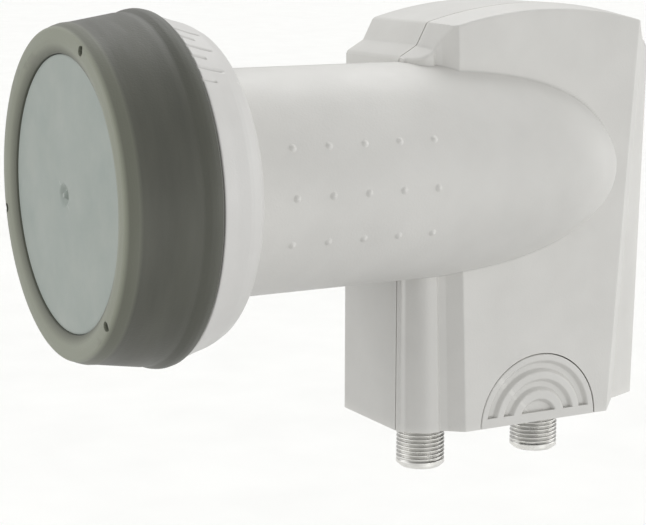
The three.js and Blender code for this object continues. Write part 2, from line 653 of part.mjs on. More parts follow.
function castingLid() {
  const edge = [TRAY_FRONT, TRAY_REAR];
  const ends = [TRAY_BOTTOM, TRAY_TOP];
  const { front, length, z, rise, wall } = CHAMBER;
  const y = [FRONT_Y + front, FRONT_Y + front + length];
  const plate = box([LID_OUT_X, LID_X], edge, ends);
  const roof = box([LID_OUT_X - rise, LID_X], y, z);
  const room = box(
    [LID_OUT_X - rise + wall, LID_X + 1],
    [y[0] + wall, y[1] - wall],
    [z[0] + wall, z[1] - wall],
  );
  return cut(
    join(plate, roof),
    room,
    ...lidScrews.map(([sy, sz]) => countersink(sy, sz, FIT)),
    ...RESONATORS_Y.map((ry) => rod("x", [0, ry, RESONATOR_Z], TUNER_R + FIT, LID_OUT_X - rise - 1, LID_X)),
  );
}

// A countersunk screw, flush with the lid, or the hole for it when it is swollen by a gap.
function countersink(y, z, swell) {
  return turnedOn(
    "x",
    [0, y, z],
    [
      [0, LID_OUT_X - swell],
      [2 * LID_SCREW_R + swell, LID_OUT_X - swell],
      [LID_SCREW_R + swell, LID_OUT_X + LID_SCREW_R],
      [LID_SCREW_R + swell, swell > 0 ? LID_X + 1 : FLOOR_X - 0.6],
      [0, swell > 0 ? LID_X + 1 : FLOOR_X - 0.6],
    ],
    12,
  );
}

function lidGasket() {
  const x = [LID_X + FIT, WALL_X - FIT];
  return cut(
    box(x, [TRAY_FRONT + 0.2, TRAY_REAR - 0.2], [TRAY_BOTTOM + 0.2, TRAY_TOP - 0.2]),
    box([x[0] - 1, x[1] + 1], [TRAY_FRONT + 1.1, TRAY_REAR - 1.1], [TRAY_BOTTOM + 1.1, TRAY_TOP - 1.1]),
  );
}

// Ceramic resonators under the lid's chamber, each with a tuning screw over it.
const resonator = (y) =>
  rod("x", [0, y, RESONATOR_Z], RESONATOR_R, PARTS_X - RESONATOR_HEIGHT, PARTS_X, 24);
const tuner = (y) =>
  rod("x", [0, y, RESONATOR_Z], TUNER_R, LID_OUT_X - CHAMBER.rise - 0.2, PARTS_X - RESONATOR_HEIGHT - FIT);

// A packaged part soldered to the board.
const chip = (y, z, [wide, tall, thick]) =>
  box([PARTS_X - thick, PARTS_X], [y - wide / 2, y + wide / 2], [z - tall / 2, z + tall / 2]);

// One coaxial output: a threaded barrel, its insulator, its contact and the washer that seals it.
const portBarrel = (y) =>
  turnedOn(
    "z",
    [PORT_X, y, 0],
    [
      [PORT_BORE_R, PORT_TIP],
      [PORT_THREAD_R - PORT_CHAMFER[0], PORT_TIP],
      [PORT_THREAD_R, PORT_TIP + PORT_CHAMFER[1]],
      [PORT_THREAD_R, THREAD_TOP],
      [PORT_SHANK_R, THREAD_TOP],
      [PORT_SHANK_R, PORT_SHANK_TOP],
      [PORT_BORE_R, PORT_SHANK_TOP],
      [PORT_BORE_R, PORT_TIP],
    ],
    28,
  );
const portInsulator = (y) =>
  pipe("z", [PORT_X, y, 0], PORT_CONTACT_R + FIT, PORT_BORE_R - FIT, PORT_TIP + 0.8, PORT_SHANK_TOP);
const portContact = (y) => rod("z", [PORT_X, y, 0], PORT_CONTACT_R, PORT_TIP + 2, PIN_TOP - FIT, 10);
const portWasher = (y) => {
  const ends = [THREAD_TOP + FIT, PORT_BLOCK_BOTTOM - FIT];
  return pipe("z", [PORT_X, y, 0], PORT_SHANK_R + FIT, PORT_THREAD_R + 0.3, ...ends);
};

// ---- The assembly -----------------------------------------------------------------------------------------

const finish = (color, roughness, metalness) => ({ color, roughness, metalness });
const SHELL = finish(0xd6d5cf, 0.55, 0);
const COLLAR = finish(0xe4e3de, 0.5, 0);
const CAP_SOFT = finish(0x7d8078, 0.75, 0);
const CAP_HARD = finish(0xa5aea9, 0.5, 0);
const CAST = finish(0xa9abac, 0.45, 0.9);
const NICKEL = finish(0xb9b6ad, 0.3, 1);
const BRASS = finish(0xb99a55, 0.35, 1);
const PTFE = finish(0xf0efe9, 0.5, 0);
const RUBBER = finish(0x262626, 0.85, 0);
const BOARD_GREEN = finish(0x2f6b45, 0.6, 0);
const CHIP_BLACK = finish(0x1d1d1f, 0.55, 0);
const CERAMIC = finish(0xcdb892, 0.5, 0);
const STEEL = finish(0x9b9c9e, 0.35, 1);

const lnb = new THREE.Group();

function add(name, made, look) {
  const mesh = new THREE.Mesh(geometryOf(made), new THREE.MeshStandardMaterial(look));
  mesh.name = name;
  lnb.add(mesh);
}

add("near_shell", nearShell(), SHELL);
add("far_shell", farShell(), SHELL);
add("weather_shield", weatherShield(), SHELL);
add("scale_collar", scaleCollar(), COLLAR);
add("cap_ring", capRing(), CAP_SOFT);
add("cap_window", capWindow(), CAP_HARD);
add("cap_seal", capSeal(), RUBBER);
add("cast_body", castBody(), CAST);
add("casting_lid", castingLid(), CAST);
add("lid_gasket", lidGasket(), RUBBER);
lidScrews.forEach(([y, z], i) => add(`lid_screw_${i + 1}`, countersink(y, z, 0), STEEL));
add("circuit_board", circuitBoard(), BOARD_GREEN);
add("probe_horizontal", horizontalProbe(), BRASS);
add("probe_vertical", verticalProbe(), BRASS);
const beadDepth = [GUIDE_R + 0.3, GUIDE_OUT_R - 0.1];
add(
  "probe_bead_horizontal",
  pipe("x", [0, PROBE_H_Y, 0], PROBE_R + FIT, BEAD_R, -beadDepth[1], -beadDepth[0]),
  PTFE,
);
add("probe_bead_vertical", pipe("z", [0, PROBE_V_Y, 0], PROBE_R + FIT, BEAD_R, ...beadDepth), PTFE);
add("isolation_post", rod("x", [0, POST_Y, 0], POST_R, -GUIDE_R + 1, GUIDE_OUT_R + 0.4, 12), BRASS);
RESONATORS_Y.forEach((y, i) => {
  const band = ["low", "high"][i];
  add(`resonator_${band}`, resonator(y), CERAMIC);
  add(`tuning_screw_${band}`, tuner(y), BRASS);
});
add("converter_chip_1", chip(TRAY_FRONT + CONVERTER_GAP, CONVERTER_Z, CONVERTER_CHIP), CHIP_BLACK);
add("converter_chip_2", chip(TRAY_REAR - CONVERTER_GAP, CONVERTER_Z, CONVERTER_CHIP), CHIP_BLACK);
add("switch_chip", chip(MIDDLE_Y, SWITCH_Z, SWITCH_CHIP), CHIP_BLACK);
add("voltage_regulator", chip(PORT_MIDDLE_Y + REGULATOR_OFFSET, REGULATOR_Z, REGULATOR), CHIP_BLACK);
PORTS_Y.forEach((y, i) => {
  const n = i + 1;
  add(`bias_choke_${n}`, chip(y, PIN_TOP + CHOKE_RISE, CHOKE), CERAMIC);
  add(`port_barrel_${n}`, portBarrel(y), NICKEL);
  add(`port_insulator_${n}`, portInsulator(y), PTFE);
  add(`port_contact_${n}`, portContact(y), BRASS);
  add(`port_washer_${n}`, portWasher(y), RUBBER);
});

export default lnb;
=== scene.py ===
"""Looks of a twin-output satellite feed converter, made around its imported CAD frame.

The feed axis is Y and the feed looks along -Y, +Z is up, and +X is the side with the waveguide bulge.
Lengths in this file are millimetres and angles are degrees, and `Surface.build` turns the finished
points to metres.
"""

import json
import logging
import math
from collections.abc import Sequence
from dataclasses import dataclass
from enum import Enum

import bmesh
import bpy
import numpy as np
from mathutils import Matrix, Vector


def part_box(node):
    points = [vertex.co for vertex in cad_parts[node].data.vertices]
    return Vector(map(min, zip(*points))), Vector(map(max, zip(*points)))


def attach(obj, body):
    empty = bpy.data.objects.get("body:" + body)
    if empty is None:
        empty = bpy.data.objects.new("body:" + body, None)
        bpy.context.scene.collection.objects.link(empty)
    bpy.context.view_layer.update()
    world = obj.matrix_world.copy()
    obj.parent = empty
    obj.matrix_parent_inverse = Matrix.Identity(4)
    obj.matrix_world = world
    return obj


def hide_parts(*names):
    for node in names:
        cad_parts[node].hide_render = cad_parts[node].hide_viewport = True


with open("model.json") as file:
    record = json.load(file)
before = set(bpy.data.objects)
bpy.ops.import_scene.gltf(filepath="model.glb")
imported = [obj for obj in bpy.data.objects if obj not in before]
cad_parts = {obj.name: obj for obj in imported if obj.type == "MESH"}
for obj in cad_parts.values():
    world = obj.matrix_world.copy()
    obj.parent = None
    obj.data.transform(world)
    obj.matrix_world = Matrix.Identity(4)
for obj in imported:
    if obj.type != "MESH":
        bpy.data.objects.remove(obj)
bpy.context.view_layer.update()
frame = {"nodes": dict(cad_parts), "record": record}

MM = 0.001
HOUSING_BODY = "housing"
SHIELD_BODY = "shield"
MERGE_MM = 0.004
log = logging.getLogger("converter")


class Side(Enum):
    """Which side of the seam a shell lies on, as the sign of its X."""

    NEAR = 1.0
    FAR = -1.0


# ---- Curves and surfaces ----------------------------------------------------------------------------------


def smoothstep(low: float, high: float, value: np.ndarray) -> np.ndarray:
    """An S-shaped rise from 0 to 1 between two values, t squared times (3 - 2t).

    Args:
        low: Where the rise starts.
        high: Where it ends.
        value: The values to look up.

    Returns:
        The rise at each value.
    """
    t = np.clip((value - low) / (high - low), 0.0, 1.0)
    return t * t * (3.0 - 2.0 * t)


def smooth_max(first: np.ndarray, second: np.ndarray, reach: np.ndarray) -> np.ndarray:
    """The larger of two heights, with a fillet where they cross.

    The share h is half plus half the difference over the reach, kept between 0 and 1. The height is the mix
    of the two by h, plus reach times h times (1 - h).

    Args:
        first: One height field.
        second: The other.
        reach: How far apart in height the two still blend.

    Returns:
        The blended height field.
    """
    share = np.clip(0.5 + 0.5 * (first - second) / reach, 0.0, 1.0)
    return second + (first - second) * share + reach * share * (1.0 - share)


def rounded(corners: Sequence[Sequence[float]], steps: int = 4, closed: bool = False) -> np.ndarray:
    """A polyline with each corner replaced by an arc.

    Args:
        corners: Two coordinates and a radius for each corner.
        steps: Stretches in each arc. Every corner gets as many points, so two outlines match point for point.
        closed: Whether the last corner joins the first.

    Returns:
        The points, one row each.
    """
    table = np.array(corners, float)
    at, radius = table[:, :2], table[:, 2]
    before, after = np.roll(at, 1, 0) - at, np.roll(at, -1, 0) - at
    room = np.minimum(np.linalg.norm(before, axis=1), np.linalg.norm(after, axis=1))
    before /= np.linalg.norm(before, axis=1)[:, None]
    after /= np.linalg.norm(after, axis=1)[:, None]
    half = 0.5 * np.arccos(np.clip((before * after).sum(1), -0.99999, 0.99999))
    setback = np.minimum(radius / np.tan(half), 0.45 * room)
    if not closed:
        setback[[0, -1]] = 0.0
    start, end = at + before * setback[:, None], at + after * setback[:, None]
    t = np.linspace(0.0, 1.0, steps + 1)[None, :, None]
    weight = np.cos(half)[:, None, None]
    middle = at[:, None] * 2.0 * t * (1.0 - t) * weight
    arc = start[:, None] * (1.0 - t) ** 2 + middle + end[:, None] * t**2
    return (arc / ((1.0 - t) ** 2 + 2.0 * t * (1.0 - t) * weight + t**2)).reshape(-1, 2)


def spread(path: np.ndarray, step: float) -> np.ndarray:
    """Places along a polyline, as row numbers with a fraction, no further apart than a step.

    Args:
        path: The polyline.
        step: The longest stretch between places.

    Returns:
        The places, in order.
    """
    lengths = np.linalg.norm(np.diff(path, axis=0), axis=1)
    counts = np.maximum(1, np.ceil(lengths / step).astype(int))
    starts = np.repeat(np.arange(len(counts)), counts)
    inside = np.arange(counts.sum()) - np.repeat(np.cumsum(counts) - counts, counts)
    return np.append(starts + inside / counts[starts], len(path) - 1.0)


def along(path: np.ndarray, places: np.ndarray) -> np.ndarray:
    """The points of a polyline at places given by `spread`."""
    rows = np.arange(len(path))
    return np.stack([np.interp(places, rows, column) for column in path.T], axis=-1)


def loop_points(corners: Sequence[Sequence[float]], step: float) -> np.ndarray:
    """A closed outline with rounded corners and evenly crowded points.

    Args:
        corners: Two coordinates and a radius for each corner.
        step: The longest stretch between points.

    Returns:
        The points, one row each, with the last not repeating the first.
    """
    path = rounded(corners, 6, closed=True)
    path = without_repeats(np.vstack([path, path[:1]]))
    return along(path, spread(path, step))[:-1]


def without_repeats(path: np.ndarray) -> np.ndarray:
    """A polyline without the points that repeat the one before them."""
    return path[np.append(True, np.linalg.norm(np.diff(path, axis=0), axis=1) > 1e-6)]


def inset(outline: np.ndarray, distance: float) -> np.ndarray:
    """Moves each edge of a closed anticlockwise outline inwards.

    A corner moves along the sum of its two edges' inward normals, by the distance over one plus their dot
    product.

    Args:
        outline: The corners, one row each.
        distance: How far the edges move.

    Returns:
        The smaller outline.
    """
    edge = np.roll(outline, -1, 0) - outline
    edge /= np.linalg.norm(edge, axis=1)[:, None]
    normal = np.stack([-edge[:, 1], edge[:, 0]], axis=1)
    other = np.roll(normal, 1, 0)
    return outline + (normal + other) * (distance / (1.0 + (normal * other).sum(1)))[:, None]


@dataclass
class Surface:
    """Points in millimetres and the faces between them.

    Args:
        points: One row for each point.
        faces: The point numbers of each face.
    """

    points: np.ndarray
    faces: list[tuple[int, ...]]

    @classmethod
    def grid(cls, points: np.ndarray, rows_join: bool = False, columns_join: bool = False) -> "Surface":
        """Quads between neighbouring points of a grid.

        Args:
            points: Rows by columns by three.
            rows_join: Whether the last row joins the first.
            columns_join: Whether the last column joins the first.

        Returns:
            The surface.
        """
        rows, columns = points.shape[:2]
        number = np.arange(rows * columns).reshape(rows, columns)
        if rows_join:
            number = np.concatenate([number, number[:1]])
        if columns_join:
            number = np.concatenate([number, number[:, :1]], axis=1)
        corners = (number[:-1, :-1], number[:-1, 1:], number[1:, 1:], number[1:, :-1])
        quads = np.stack([c.ravel() for c in corners], axis=1)
        return cls(points.reshape(-1, 3), [tuple(q) for q in quads.tolist()])

    @classmethod
    def turned(cls, profile: np.ndarray, segments: int, closed: bool = True) -> "Surface":
        """A profile of radius and place along Y, turned about Y: x is r cos a and z is r sin a.

        Args:
            profile: Radius and place, one row each.
            segments: Facets round the axis.
            closed: Whether the profile's end joins its start.

        Returns:
            The surface.
        """
        angle = np.linspace(0.0, 2.0 * np.pi, segments, endpoint=False)[None, :]
        r, y = profile[:, :1], profile[:, 1:]
        points = np.stack([r * np.cos(angle), y + 0.0 * angle, r * np.sin(angle)], axis=-1)
        return cls.grid(points, rows_join=closed, columns_join=True)

    def plus(self, other: "Surface") -> "Surface":
        """Both surfaces as one."""
        start = len(self.points)
        moved = [tuple(i + start for i in face) for face in other.faces]
        return Surface(np.concatenate([self.points, other.points]), self.faces + moved)

    def build(
        self, name: str, inside: Sequence[float] | None = None, close: bool = False
    ) -> bpy.types.Object:
        """Makes the object, in metres, with its doubles merged and its faces outward.

        Args:
            name: The object's name.
            inside: A point that an open sheet's faces look away from.
            close: Whether open loops are filled.

        Returns:
            The new object, smooth shaded.
        """
        mesh = bpy.data.meshes.new(name)
        mesh.from_pydata((self.points * MM).tolist(), [], self.faces)
        work = bmesh.new()
        work.from_mesh(mesh)
        bmesh.ops.remove_doubles(work, verts=work.verts, dist=MERGE_MM * MM)
        bmesh.ops.dissolve_degenerate(work, edges=work.edges, dist=MERGE_MM * MM)
        if close:
            bmesh.ops.holes_fill(work, edges=[e for e in work.edges if e.is_boundary], sides=0)
        bmesh.ops.recalc_face_normals(work, faces=work.faces)
        if inside is not None:
            centre = Vector(inside) * MM
            facing = sum(f.normal.dot(f.calc_center_median() - centre) * f.calc_area() for f in work.faces)
            if facing < 0.0:
                bmesh.ops.reverse_faces(work, faces=work.faces)
        work.to_mesh(mesh)
        work.free()
        mesh.shade_smooth()
        made = bpy.data.objects.new(name, mesh)
        bpy.context.scene.collection.objects.link(made)
        return made


def settle(piece: bpy.types.Object, sharp_above: float = 32.0) -> bpy.types.Object:
    """Applies the piece's modifiers and keeps its edges sharp above an angle.

    Args:
        piece: The object.
        sharp_above: The angle between faces, in degrees, from which an edge shades sharp.

    Returns:
        The same object, with its final mesh.
    """
    graph = bpy.context.evaluated_depsgraph_get()
    final = bpy.data.meshes.new_from_object(piece.evaluated_get(graph))
    final.name = piece.name
    piece.modifiers.clear()
    piece.data = final
    final.shade_smooth()
    final.set_sharp_from_angle(angle=math.radians(sharp_above))
    return piece


def thicken(piece: bpy.types.Object, wall: float) -> bpy.types.Object:
    """Gives an open sheet a wall inwards from its outer face.

    Args:
        piece: The sheet.
        wall: The wall's thickness.

    Returns:
        The same object, now solid.
    """
    solid = piece.modifiers.new("wall", "SOLIDIFY")
    solid.thickness, solid.offset, solid.use_rim = wall * MM, -1.0, True
    return settle(piece)


def combine(piece: bpy.types.Object, others: Sequence[bpy.types.Object], operation: str) -> bpy.types.Object:
    """Cuts other solids from a piece, or joins them to it, and removes them.

    Args:
        piece: The object that is changed.
        others: The cutters or the additions.
        operation: DIFFERENCE or UNION.

    Returns:
        The changed object.
    """
    for other in others:
        step = piece.modifiers.new("combine", "BOOLEAN")
        step.object, step.operation, step.solver = other, operation, "EXACT"
        settle(piece)
        bpy.data.objects.remove(other)
    return piece


def joined(name: str, parts: Sequence[bpy.types.Object]) -> bpy.types.Object:
    """Puts several objects' meshes, unchanged, into one object.

    Args:
        name: The new object's name.
        parts: The objects, which are removed.

    Returns:
        The new object.
    """
    work = bmesh.new()
    for part in parts:
        work.from_mesh(part.data)
        bpy.data.objects.remove(part)
    mesh = bpy.data.meshes.new(name)
    work.to_mesh(mesh)
    work.free()
    made = bpy.data.objects.new(name, mesh)
    bpy.context.scene.collection.objects.link(made)
    return made


def rod(axis: str, at: Sequence[float], radius: float, start: float, end: float, sides: int = 128) -> Surface:
    """A plain round bar along X or Y, closed at both ends.

    Args:
        axis: x or y.
        at: A point on its middle line.
        radius: Its radius.
        start: Where it starts along the axis.
        end: Where it ends.
        sides: Facets round it.

    Returns:
        The surface, which `Surface.build` merges at its poles.
    """
    profile = np.array([[0.0, start], [radius, start], [radius, end], [0.0, end]])
    made = Surface.turned(profile, sides, closed=False)
    if axis == "x":
        made.points = made.points[:, [1, 0, 2]]
    made.points = made.points + np.where(np.array(["x", "y", "z"]) == axis, 0.0, np.array(at, float))
    return made


# ---- Materials -------------------------------------------------------------------------------------------

NOISE_ROUGHNESS = 0.55
NOISE_RANGE = (0.3, 0.7)  # where nearly all of a noise pattern's values lie
EDGE_POINTINESS = (0.51, 0.6)  # from a flat face to a sharp edge
CREASE_POINTINESS = (0.42, 0.495)  # from a sharp crease to a flat face
GLOSS_CLOUDS = 0.6  # the width of the gloss pattern's clouds over the colour pattern's


def linear(code: str) -> tuple[float, float, float, float]:
    """An sRGB hex colour as linear light.

    Args:
        code: The colour, as # and six hex digits.

    Returns:
        Red, green, blue and alpha.
    """
    parts = [int(code[i : i + 2], 16) / 255.0 for i in (1, 3, 5)]
    r, g, b = (c / 12.92 if c <= 0.04045 else ((c + 0.055) / 1.055) ** 2.4 for c in parts)
    return r, g, b, 1.0


def add_node(
    tree: bpy.types.NodeTree, kind: str, inputs: dict[str | int, object] | None = None, **settings: object
) -> bpy.types.Node:
    """Adds a node with its settings, and links or sets its inputs.

    Args:
        tree: The material's node tree.
        kind: The node's type.
        inputs: For each input, another node's output to link, or a value to set.
        **settings: The node's own properties.

    Returns:
        The new node.
    """
    made = tree.nodes.new(kind)
    for key, value in settings.items():
        setattr(made, key, value)
    for key, value in (inputs or {}).items():
        if isinstance(value, bpy.types.NodeSocket):
            tree.links.new(value, made.inputs[key])
        else:
            made.inputs[key].default_value = value
    return made


def rescaled(
    tree: bpy.types.NodeTree,
    value: bpy.types.NodeSocket,
    source: tuple[float, float],
    target: tuple[float, float],
) -> bpy.types.NodeSocket:
    """Carries a value from one range to another, in proportion.

    Args:
        tree: The material's node tree.
        value: The output that carries the value.
        source: The two ends of the first range.
        target: What they become.

    Returns:
        The output that carries the new value.
    """
    limits = {"From Min": source[0], "From Max": source[1], "To Min": target[0], "To Max": target[1]}
    return add_node(tree, "ShaderNodeMapRange", {"Value": value} | limits).outputs[0]


@dataclass(frozen=True)
class Pattern:
    """A cloudy pattern in Object coordinates.

    Args:
        size: The width of one cloud in millimetres.
        detail: How many finer layers it has.
        stretch: How many times finer it is along X, Y and Z.
    """

    size: float
    detail: float = 2.0
    stretch: tuple[float, float, float] = (1.0, 1.0, 1.0)

    def add(self, tree: bpy.types.NodeTree, low: float, high: float) -> bpy.types.NodeSocket:
        """Adds the pattern to a tree, spread between two values.

        Args:
            tree: The material's node tree.
            low: The value in its dark clouds.
            high: The value in its pale clouds.

        Returns:
            The output that carries the value.
        """
        place = add_node(tree, "ShaderNodeTexCoord").outputs["Object"]
        if self.stretch != (1.0, 1.0, 1.0):
            scaled = {"Vector": place, "Scale": self.stretch}
            place = add_node(tree, "ShaderNodeMapping", scaled).outputs["Vector"]
        scale = 1.0 / (self.size * MM)
        cloud = {"Vector": place, "Scale": scale, "Detail": self.detail, "Roughness": NOISE_ROUGHNESS}
        noise = add_node(tree, "ShaderNodeTexNoise", cloud).outputs[0]
        return rescaled(tree, noise, NOISE_RANGE, (low, high))


def mixed(
    tree: bpy.types.NodeTree, share: bpy.types.NodeSocket, low: object, high: object
) -> bpy.types.NodeSocket:
    """Mixes two colours, or outputs that carry one, by a share.

    Args:
        tree: The material's node tree.
        share: The output that carries the share of the second colour.
        low: The colour at 0.
        high: The colour at 1.

    Returns:
        The output that carries the mixed colour.
    """
    made = add_node(tree, "ShaderNodeMix", {0: share, 6: low, 7: high}, data_type="RGBA")
    return made.outputs[2]


@dataclass(frozen=True)
class Finish:
    """A finish with clouded colour, uneven gloss and two depths of texture.

    Args:
        name: The material and how its surface was made.
        colour: Its main colour.
        shade: Its second colour, in soft clouds.
        clouds: The pattern of the colour clouds.
        grain: The pattern of the fine texture.
        grain_depth: The fine texture's depth in millimetres.
        roughness: The lowest and highest roughness.
        worn: The colour of its edges.
        wear: How much of that colour the sharpest edges take.
        crease_shade_colour: The colour of the painted shade in its creases.
        crease_shade: How much of that painted shade the sharpest creases take.
        metallic: 1 for a bare metal.
        ior: Index of refraction.
        specular: The Principled shader's specular level.
        sheen: How strong a soft bloom it has at a glancing angle.
    """

    name: str
    colour: str
    shade: str
    clouds: Pattern
    grain: Pattern
    grain_depth: float
    roughness: tuple[float, float]
    worn: str
    wear: float = 0.3
    # painted shade: the colour that concave creases are darkened towards, where shade would fall
    crease_shade_colour: str = "#6f6e68"
    crease_shade: float = 0.5
    metallic: float = 0.0
    ior: float = 1.5
    specular: float = 0.5
    sheen: float = 0.0

    def base(self, tree: bpy.types.NodeTree) -> bpy.types.NodeSocket:
        """The colour before wear: two colours in soft clouds."""
        return mixed(tree, self.clouds.add(tree, 0.0, 1.0), linear(self.colour), linear(self.shade))

    def height(self, tree: bpy.types.NodeTree) -> bpy.types.NodeSocket:
        """The texture's height, as a share of its depth."""
        return self.grain.add(tree, 0.0, 1.0)

    def build(self) -> bpy.types.Material:
        """Makes the material.

        Returns:
            The material, with its Principled shader linked.
        """
        made = bpy.data.materials.new(self.name)
        made.use_nodes = True
        tree = made.node_tree
        shader = tree.nodes["Principled BSDF"]
        point = add_node(tree, "ShaderNodeNewGeometry").outputs["Pointiness"]
        edges = rescaled(tree, point, EDGE_POINTINESS, (0.0, self.wear))
        # painted shade: the sharpest concave creases are mixed towards the crease shade colour
        creases = rescaled(tree, point, CREASE_POINTINESS, (self.crease_shade, 0.0))
        lightened = mixed(tree, edges, self.base(tree), linear(self.worn))
        colour = mixed(tree, creases, lightened, linear(self.crease_shade_colour))
        tree.links.new(colour, shader.inputs["Base Color"])
        gloss = Pattern(self.clouds.size * GLOSS_CLOUDS, 3.0, self.clouds.stretch)
        tree.links.new(gloss.add(tree, *self.roughness), shader.inputs["Roughness"])
        relief = {"Height": self.height(tree), "Distance": self.grain_depth * MM, "Strength": 1.0}
        tree.links.new(add_node(tree, "ShaderNodeBump", relief).outputs[0], shader.inputs["Normal"])
        shader.inputs["Metallic"].default_value = self.metallic
        shader.inputs["IOR"].default_value = self.ior
        shader.inputs["Specular IOR Level"].default_value = self.specular
        shader.inputs["Sheen Weight"].default_value = self.sheen
        return made


@dataclass(frozen=True)
class ChalkedRim(Finish):
    """A dark elastomer whose front face has chalked in the sun, in bands along the feed axis.

    Args:
        chalk: The colour of the chalked front face.
        bevel: The colour of the bevel between the front face and the side.
        crest: Where the bevel starts along Y.
        side: Where the side starts.
        fade: Half the width of a band's soft edge.
    """

    chalk: str = "#8e9182"
    bevel: str = "#64665a"
    crest: float = 1.3
    side: float = 3.4
    fade: float = 0.35

    def base(self, tree: bpy.types.NodeTree) -> bpy.types.NodeSocket:
        """Bands by the place along Y, with the clouds of the plain finish under them.

        Args:
            tree: The material's node tree.

        Returns:
            The output that carries the colour.
        """
        place = add_node(tree, "ShaderNodeTexCoord").outputs["Object"]
        y = add_node(tree, "ShaderNodeSeparateXYZ", {"Vector": place}).outputs["Y"]
        colour = super().base(tree)
        for end, paler in ((self.side, self.bevel), (self.crest, self.chalk)):
            edge = ((end - self.fade) * MM, (end + self.fade) * MM)
            colour = mixed(tree, rescaled(tree, y, edge, (1.0, 0.0)), colour, linear(paler))
        return colour


@dataclass(frozen=True)
class SolderMask(Finish):
    """Green solder mask over copper tracks on a woven glass laminate.

    Args:
        track: The colour of the mask over copper.
        pitch: The spacing of the tracks.
        line: Where a track's paler colour fades out, from its middle, as a share of the pitch.
    """

    track: str = "#3f8a58"
    pitch: float = 3.2
    line: tuple[float, float] = (0.04, 0.09)

    def base(self, tree: bpy.types.NodeTree) -> bpy.types.NodeSocket:
        """Paler lines where copper runs under the mask.

        Args:
            tree: The material's node tree.

        Returns:
            The output that carries the colour.
        """
        place = add_node(tree, "ShaderNodeTexCoord").outputs["Object"]
        cells = {"Vector": place, "Scale": 1.0 / (self.pitch * MM)}
        edge = add_node(tree, "ShaderNodeTexVoronoi", cells, feature="DISTANCE_TO_EDGE").outputs[0]
        copper = rescaled(tree, edge, self.line, (1.0, 0.0))
        return mixed(tree, copper, super().base(tree), linear(self.track))


# ASA, injection moulded in a spark-eroded tool: a warm pale grey with a dry, fine-grained satin face. The
# grain of such a tool is about 0.1 mm wide, too fine to show here, so it is drawn at 0.4 mm.
SHELL = Finish(
    name="asa_moulded_satin",
    colour="#d4d3cf",
    shade="#cdccc8",
    clouds=Pattern(14.0, 3.0),
    grain=Pattern(0.4, 2.0),
    grain_depth=0.012,
    roughness=(0.46, 0.56),
    worn="#e4e3de",
    wear=0.4,
    # how much painted shade its creases take
    crease_shade=0.3,
    ior=1.51,
)

# The same ASA from a smoother tool, a little whiter.
COLLAR = Finish(
    name="asa_moulded_smooth",
    colour="#cfcecb",
    shade="#c9c8c5",
    clouds=Pattern(11.0, 3.0),
    grain=Pattern(0.4, 2.0),
    grain_depth=0.008,
    roughness=(0.4, 0.5),
    worn="#e2e1dd",
    wear=0.25,
    ior=1.51,
)

# Polypropylene, moulded flat: slightly waxy and bluish, with faint flow marks out from the gate.
WINDOW = Finish(
    name="polypropylene_moulded_window",
    colour="#a5aca5",
    shade="#9ba49e",
    clouds=Pattern(9.0, 3.0),
    grain=Pattern(0.5, 2.0),
    grain_depth=0.008,
    roughness=(0.42, 0.52),
    worn="#c6cdc8",
    wear=0.45,
    # how much painted shade its creases take
    crease_shade=0.15,
    ior=1.49,
)

# EPDM, compression moulded: dull and near black, with a soft bloom at a glancing angle.
RUBBER = Finish(
    name="epdm_rubber_moulded",
    colour="#2b2b2a",
    shade="#242424",
    clouds=Pattern(3.0),
    grain=Pattern(0.25),
    grain_depth=0.012,
    roughness=(0.7, 0.82),
    worn="#3a3a38",
    ior=1.52,
    sheen=0.1,
)

# Aluminium die casting, tumbled: mottled grey with fine pits.
CASTING = Finish(
    name="aluminium_die_cast",
    colour="#a9abac",
    shade="#8f9193",
    clouds=Pattern(5.0, 4.0),
    grain=Pattern(0.5, 4.0),
    grain_depth=0.03,
    roughness=(0.38, 0.58),
    worn="#c9cbcc",
    wear=0.4,
    metallic=1.0,
)

# Nickel on turned brass: warm pale metal with faint turning rings across its axis, drawn 0.25 mm apart.
NICKEL = Finish(
    name="nickel_plated_brass_turned",
    colour="#dddcd8",
    shade="#cccbc8",
    clouds=Pattern(2.5, 3.0),
    grain=Pattern(1.5, 2.0, (1.0, 1.0, 6.0)),
    grain_depth=0.01,
    roughness=(0.24, 0.38),
    # how much painted shade its creases take
    worn="#e2e1dd",
    wear=0.4,
    metallic=1.0,
)

# Zinc-plated steel screws: cool grey with a faint clouded plating.
STEEL = Finish(
    name="steel_zinc_plated",
    colour="#a5a8ab",
    shade="#95989d",
    clouds=Pattern(1.2, 3.0),
    grain=Pattern(0.25),
    grain_depth=0.006,
    roughness=(0.28, 0.42),
    worn="#c4c6c8",
    metallic=1.0,
)

# Free-cutting brass, turned and lightly tarnished.
BRASS = Finish(
    name="brass_turned",
    colour="#b99a55",
    shade="#a48548",
    clouds=Pattern(1.5, 3.0),
    grain=Pattern(0.6, 2.0, (1.0, 1.0, 4.0)),
    grain_depth=0.008,
    roughness=(0.25, 0.4),
    worn="#d4b975",
    metallic=1.0,
)

# PTFE rod, turned: waxy white, almost no texture.
FLUOROPOLYMER = Finish(
    name="ptfe_turned",
    colour="#efeee9",
    shade="#e6e4dc",
    clouds=Pattern(2.0),
    grain=Pattern(0.4, 2.0, (1.0, 1.0, 3.0)),
    grain_depth=0.006,
    roughness=(0.4, 0.52),
    worn="#f4f3ef",
    ior=1.35,
)

BOARD = SolderMask(
    name="glass_laminate_solder_mask",
    colour="#2b6541",
    shade="#245a39",
    clouds=Pattern(6.0, 3.0),
    grain=Pattern(0.5),
    grain_depth=0.015,
    roughness=(0.3, 0.42),
    worn="#4c8f62",
)

# Filled epoxy, transfer moulded: dark grey with a fine matt texture.
EPOXY = Finish(
    name="epoxy_transfer_moulded",
    colour="#202022",
    shade="#1a1a1c",
    clouds=Pattern(1.0),
    grain=Pattern(0.15),
    grain_depth=0.01,
    roughness=(0.5, 0.62),
    worn="#3a3a3d",
)

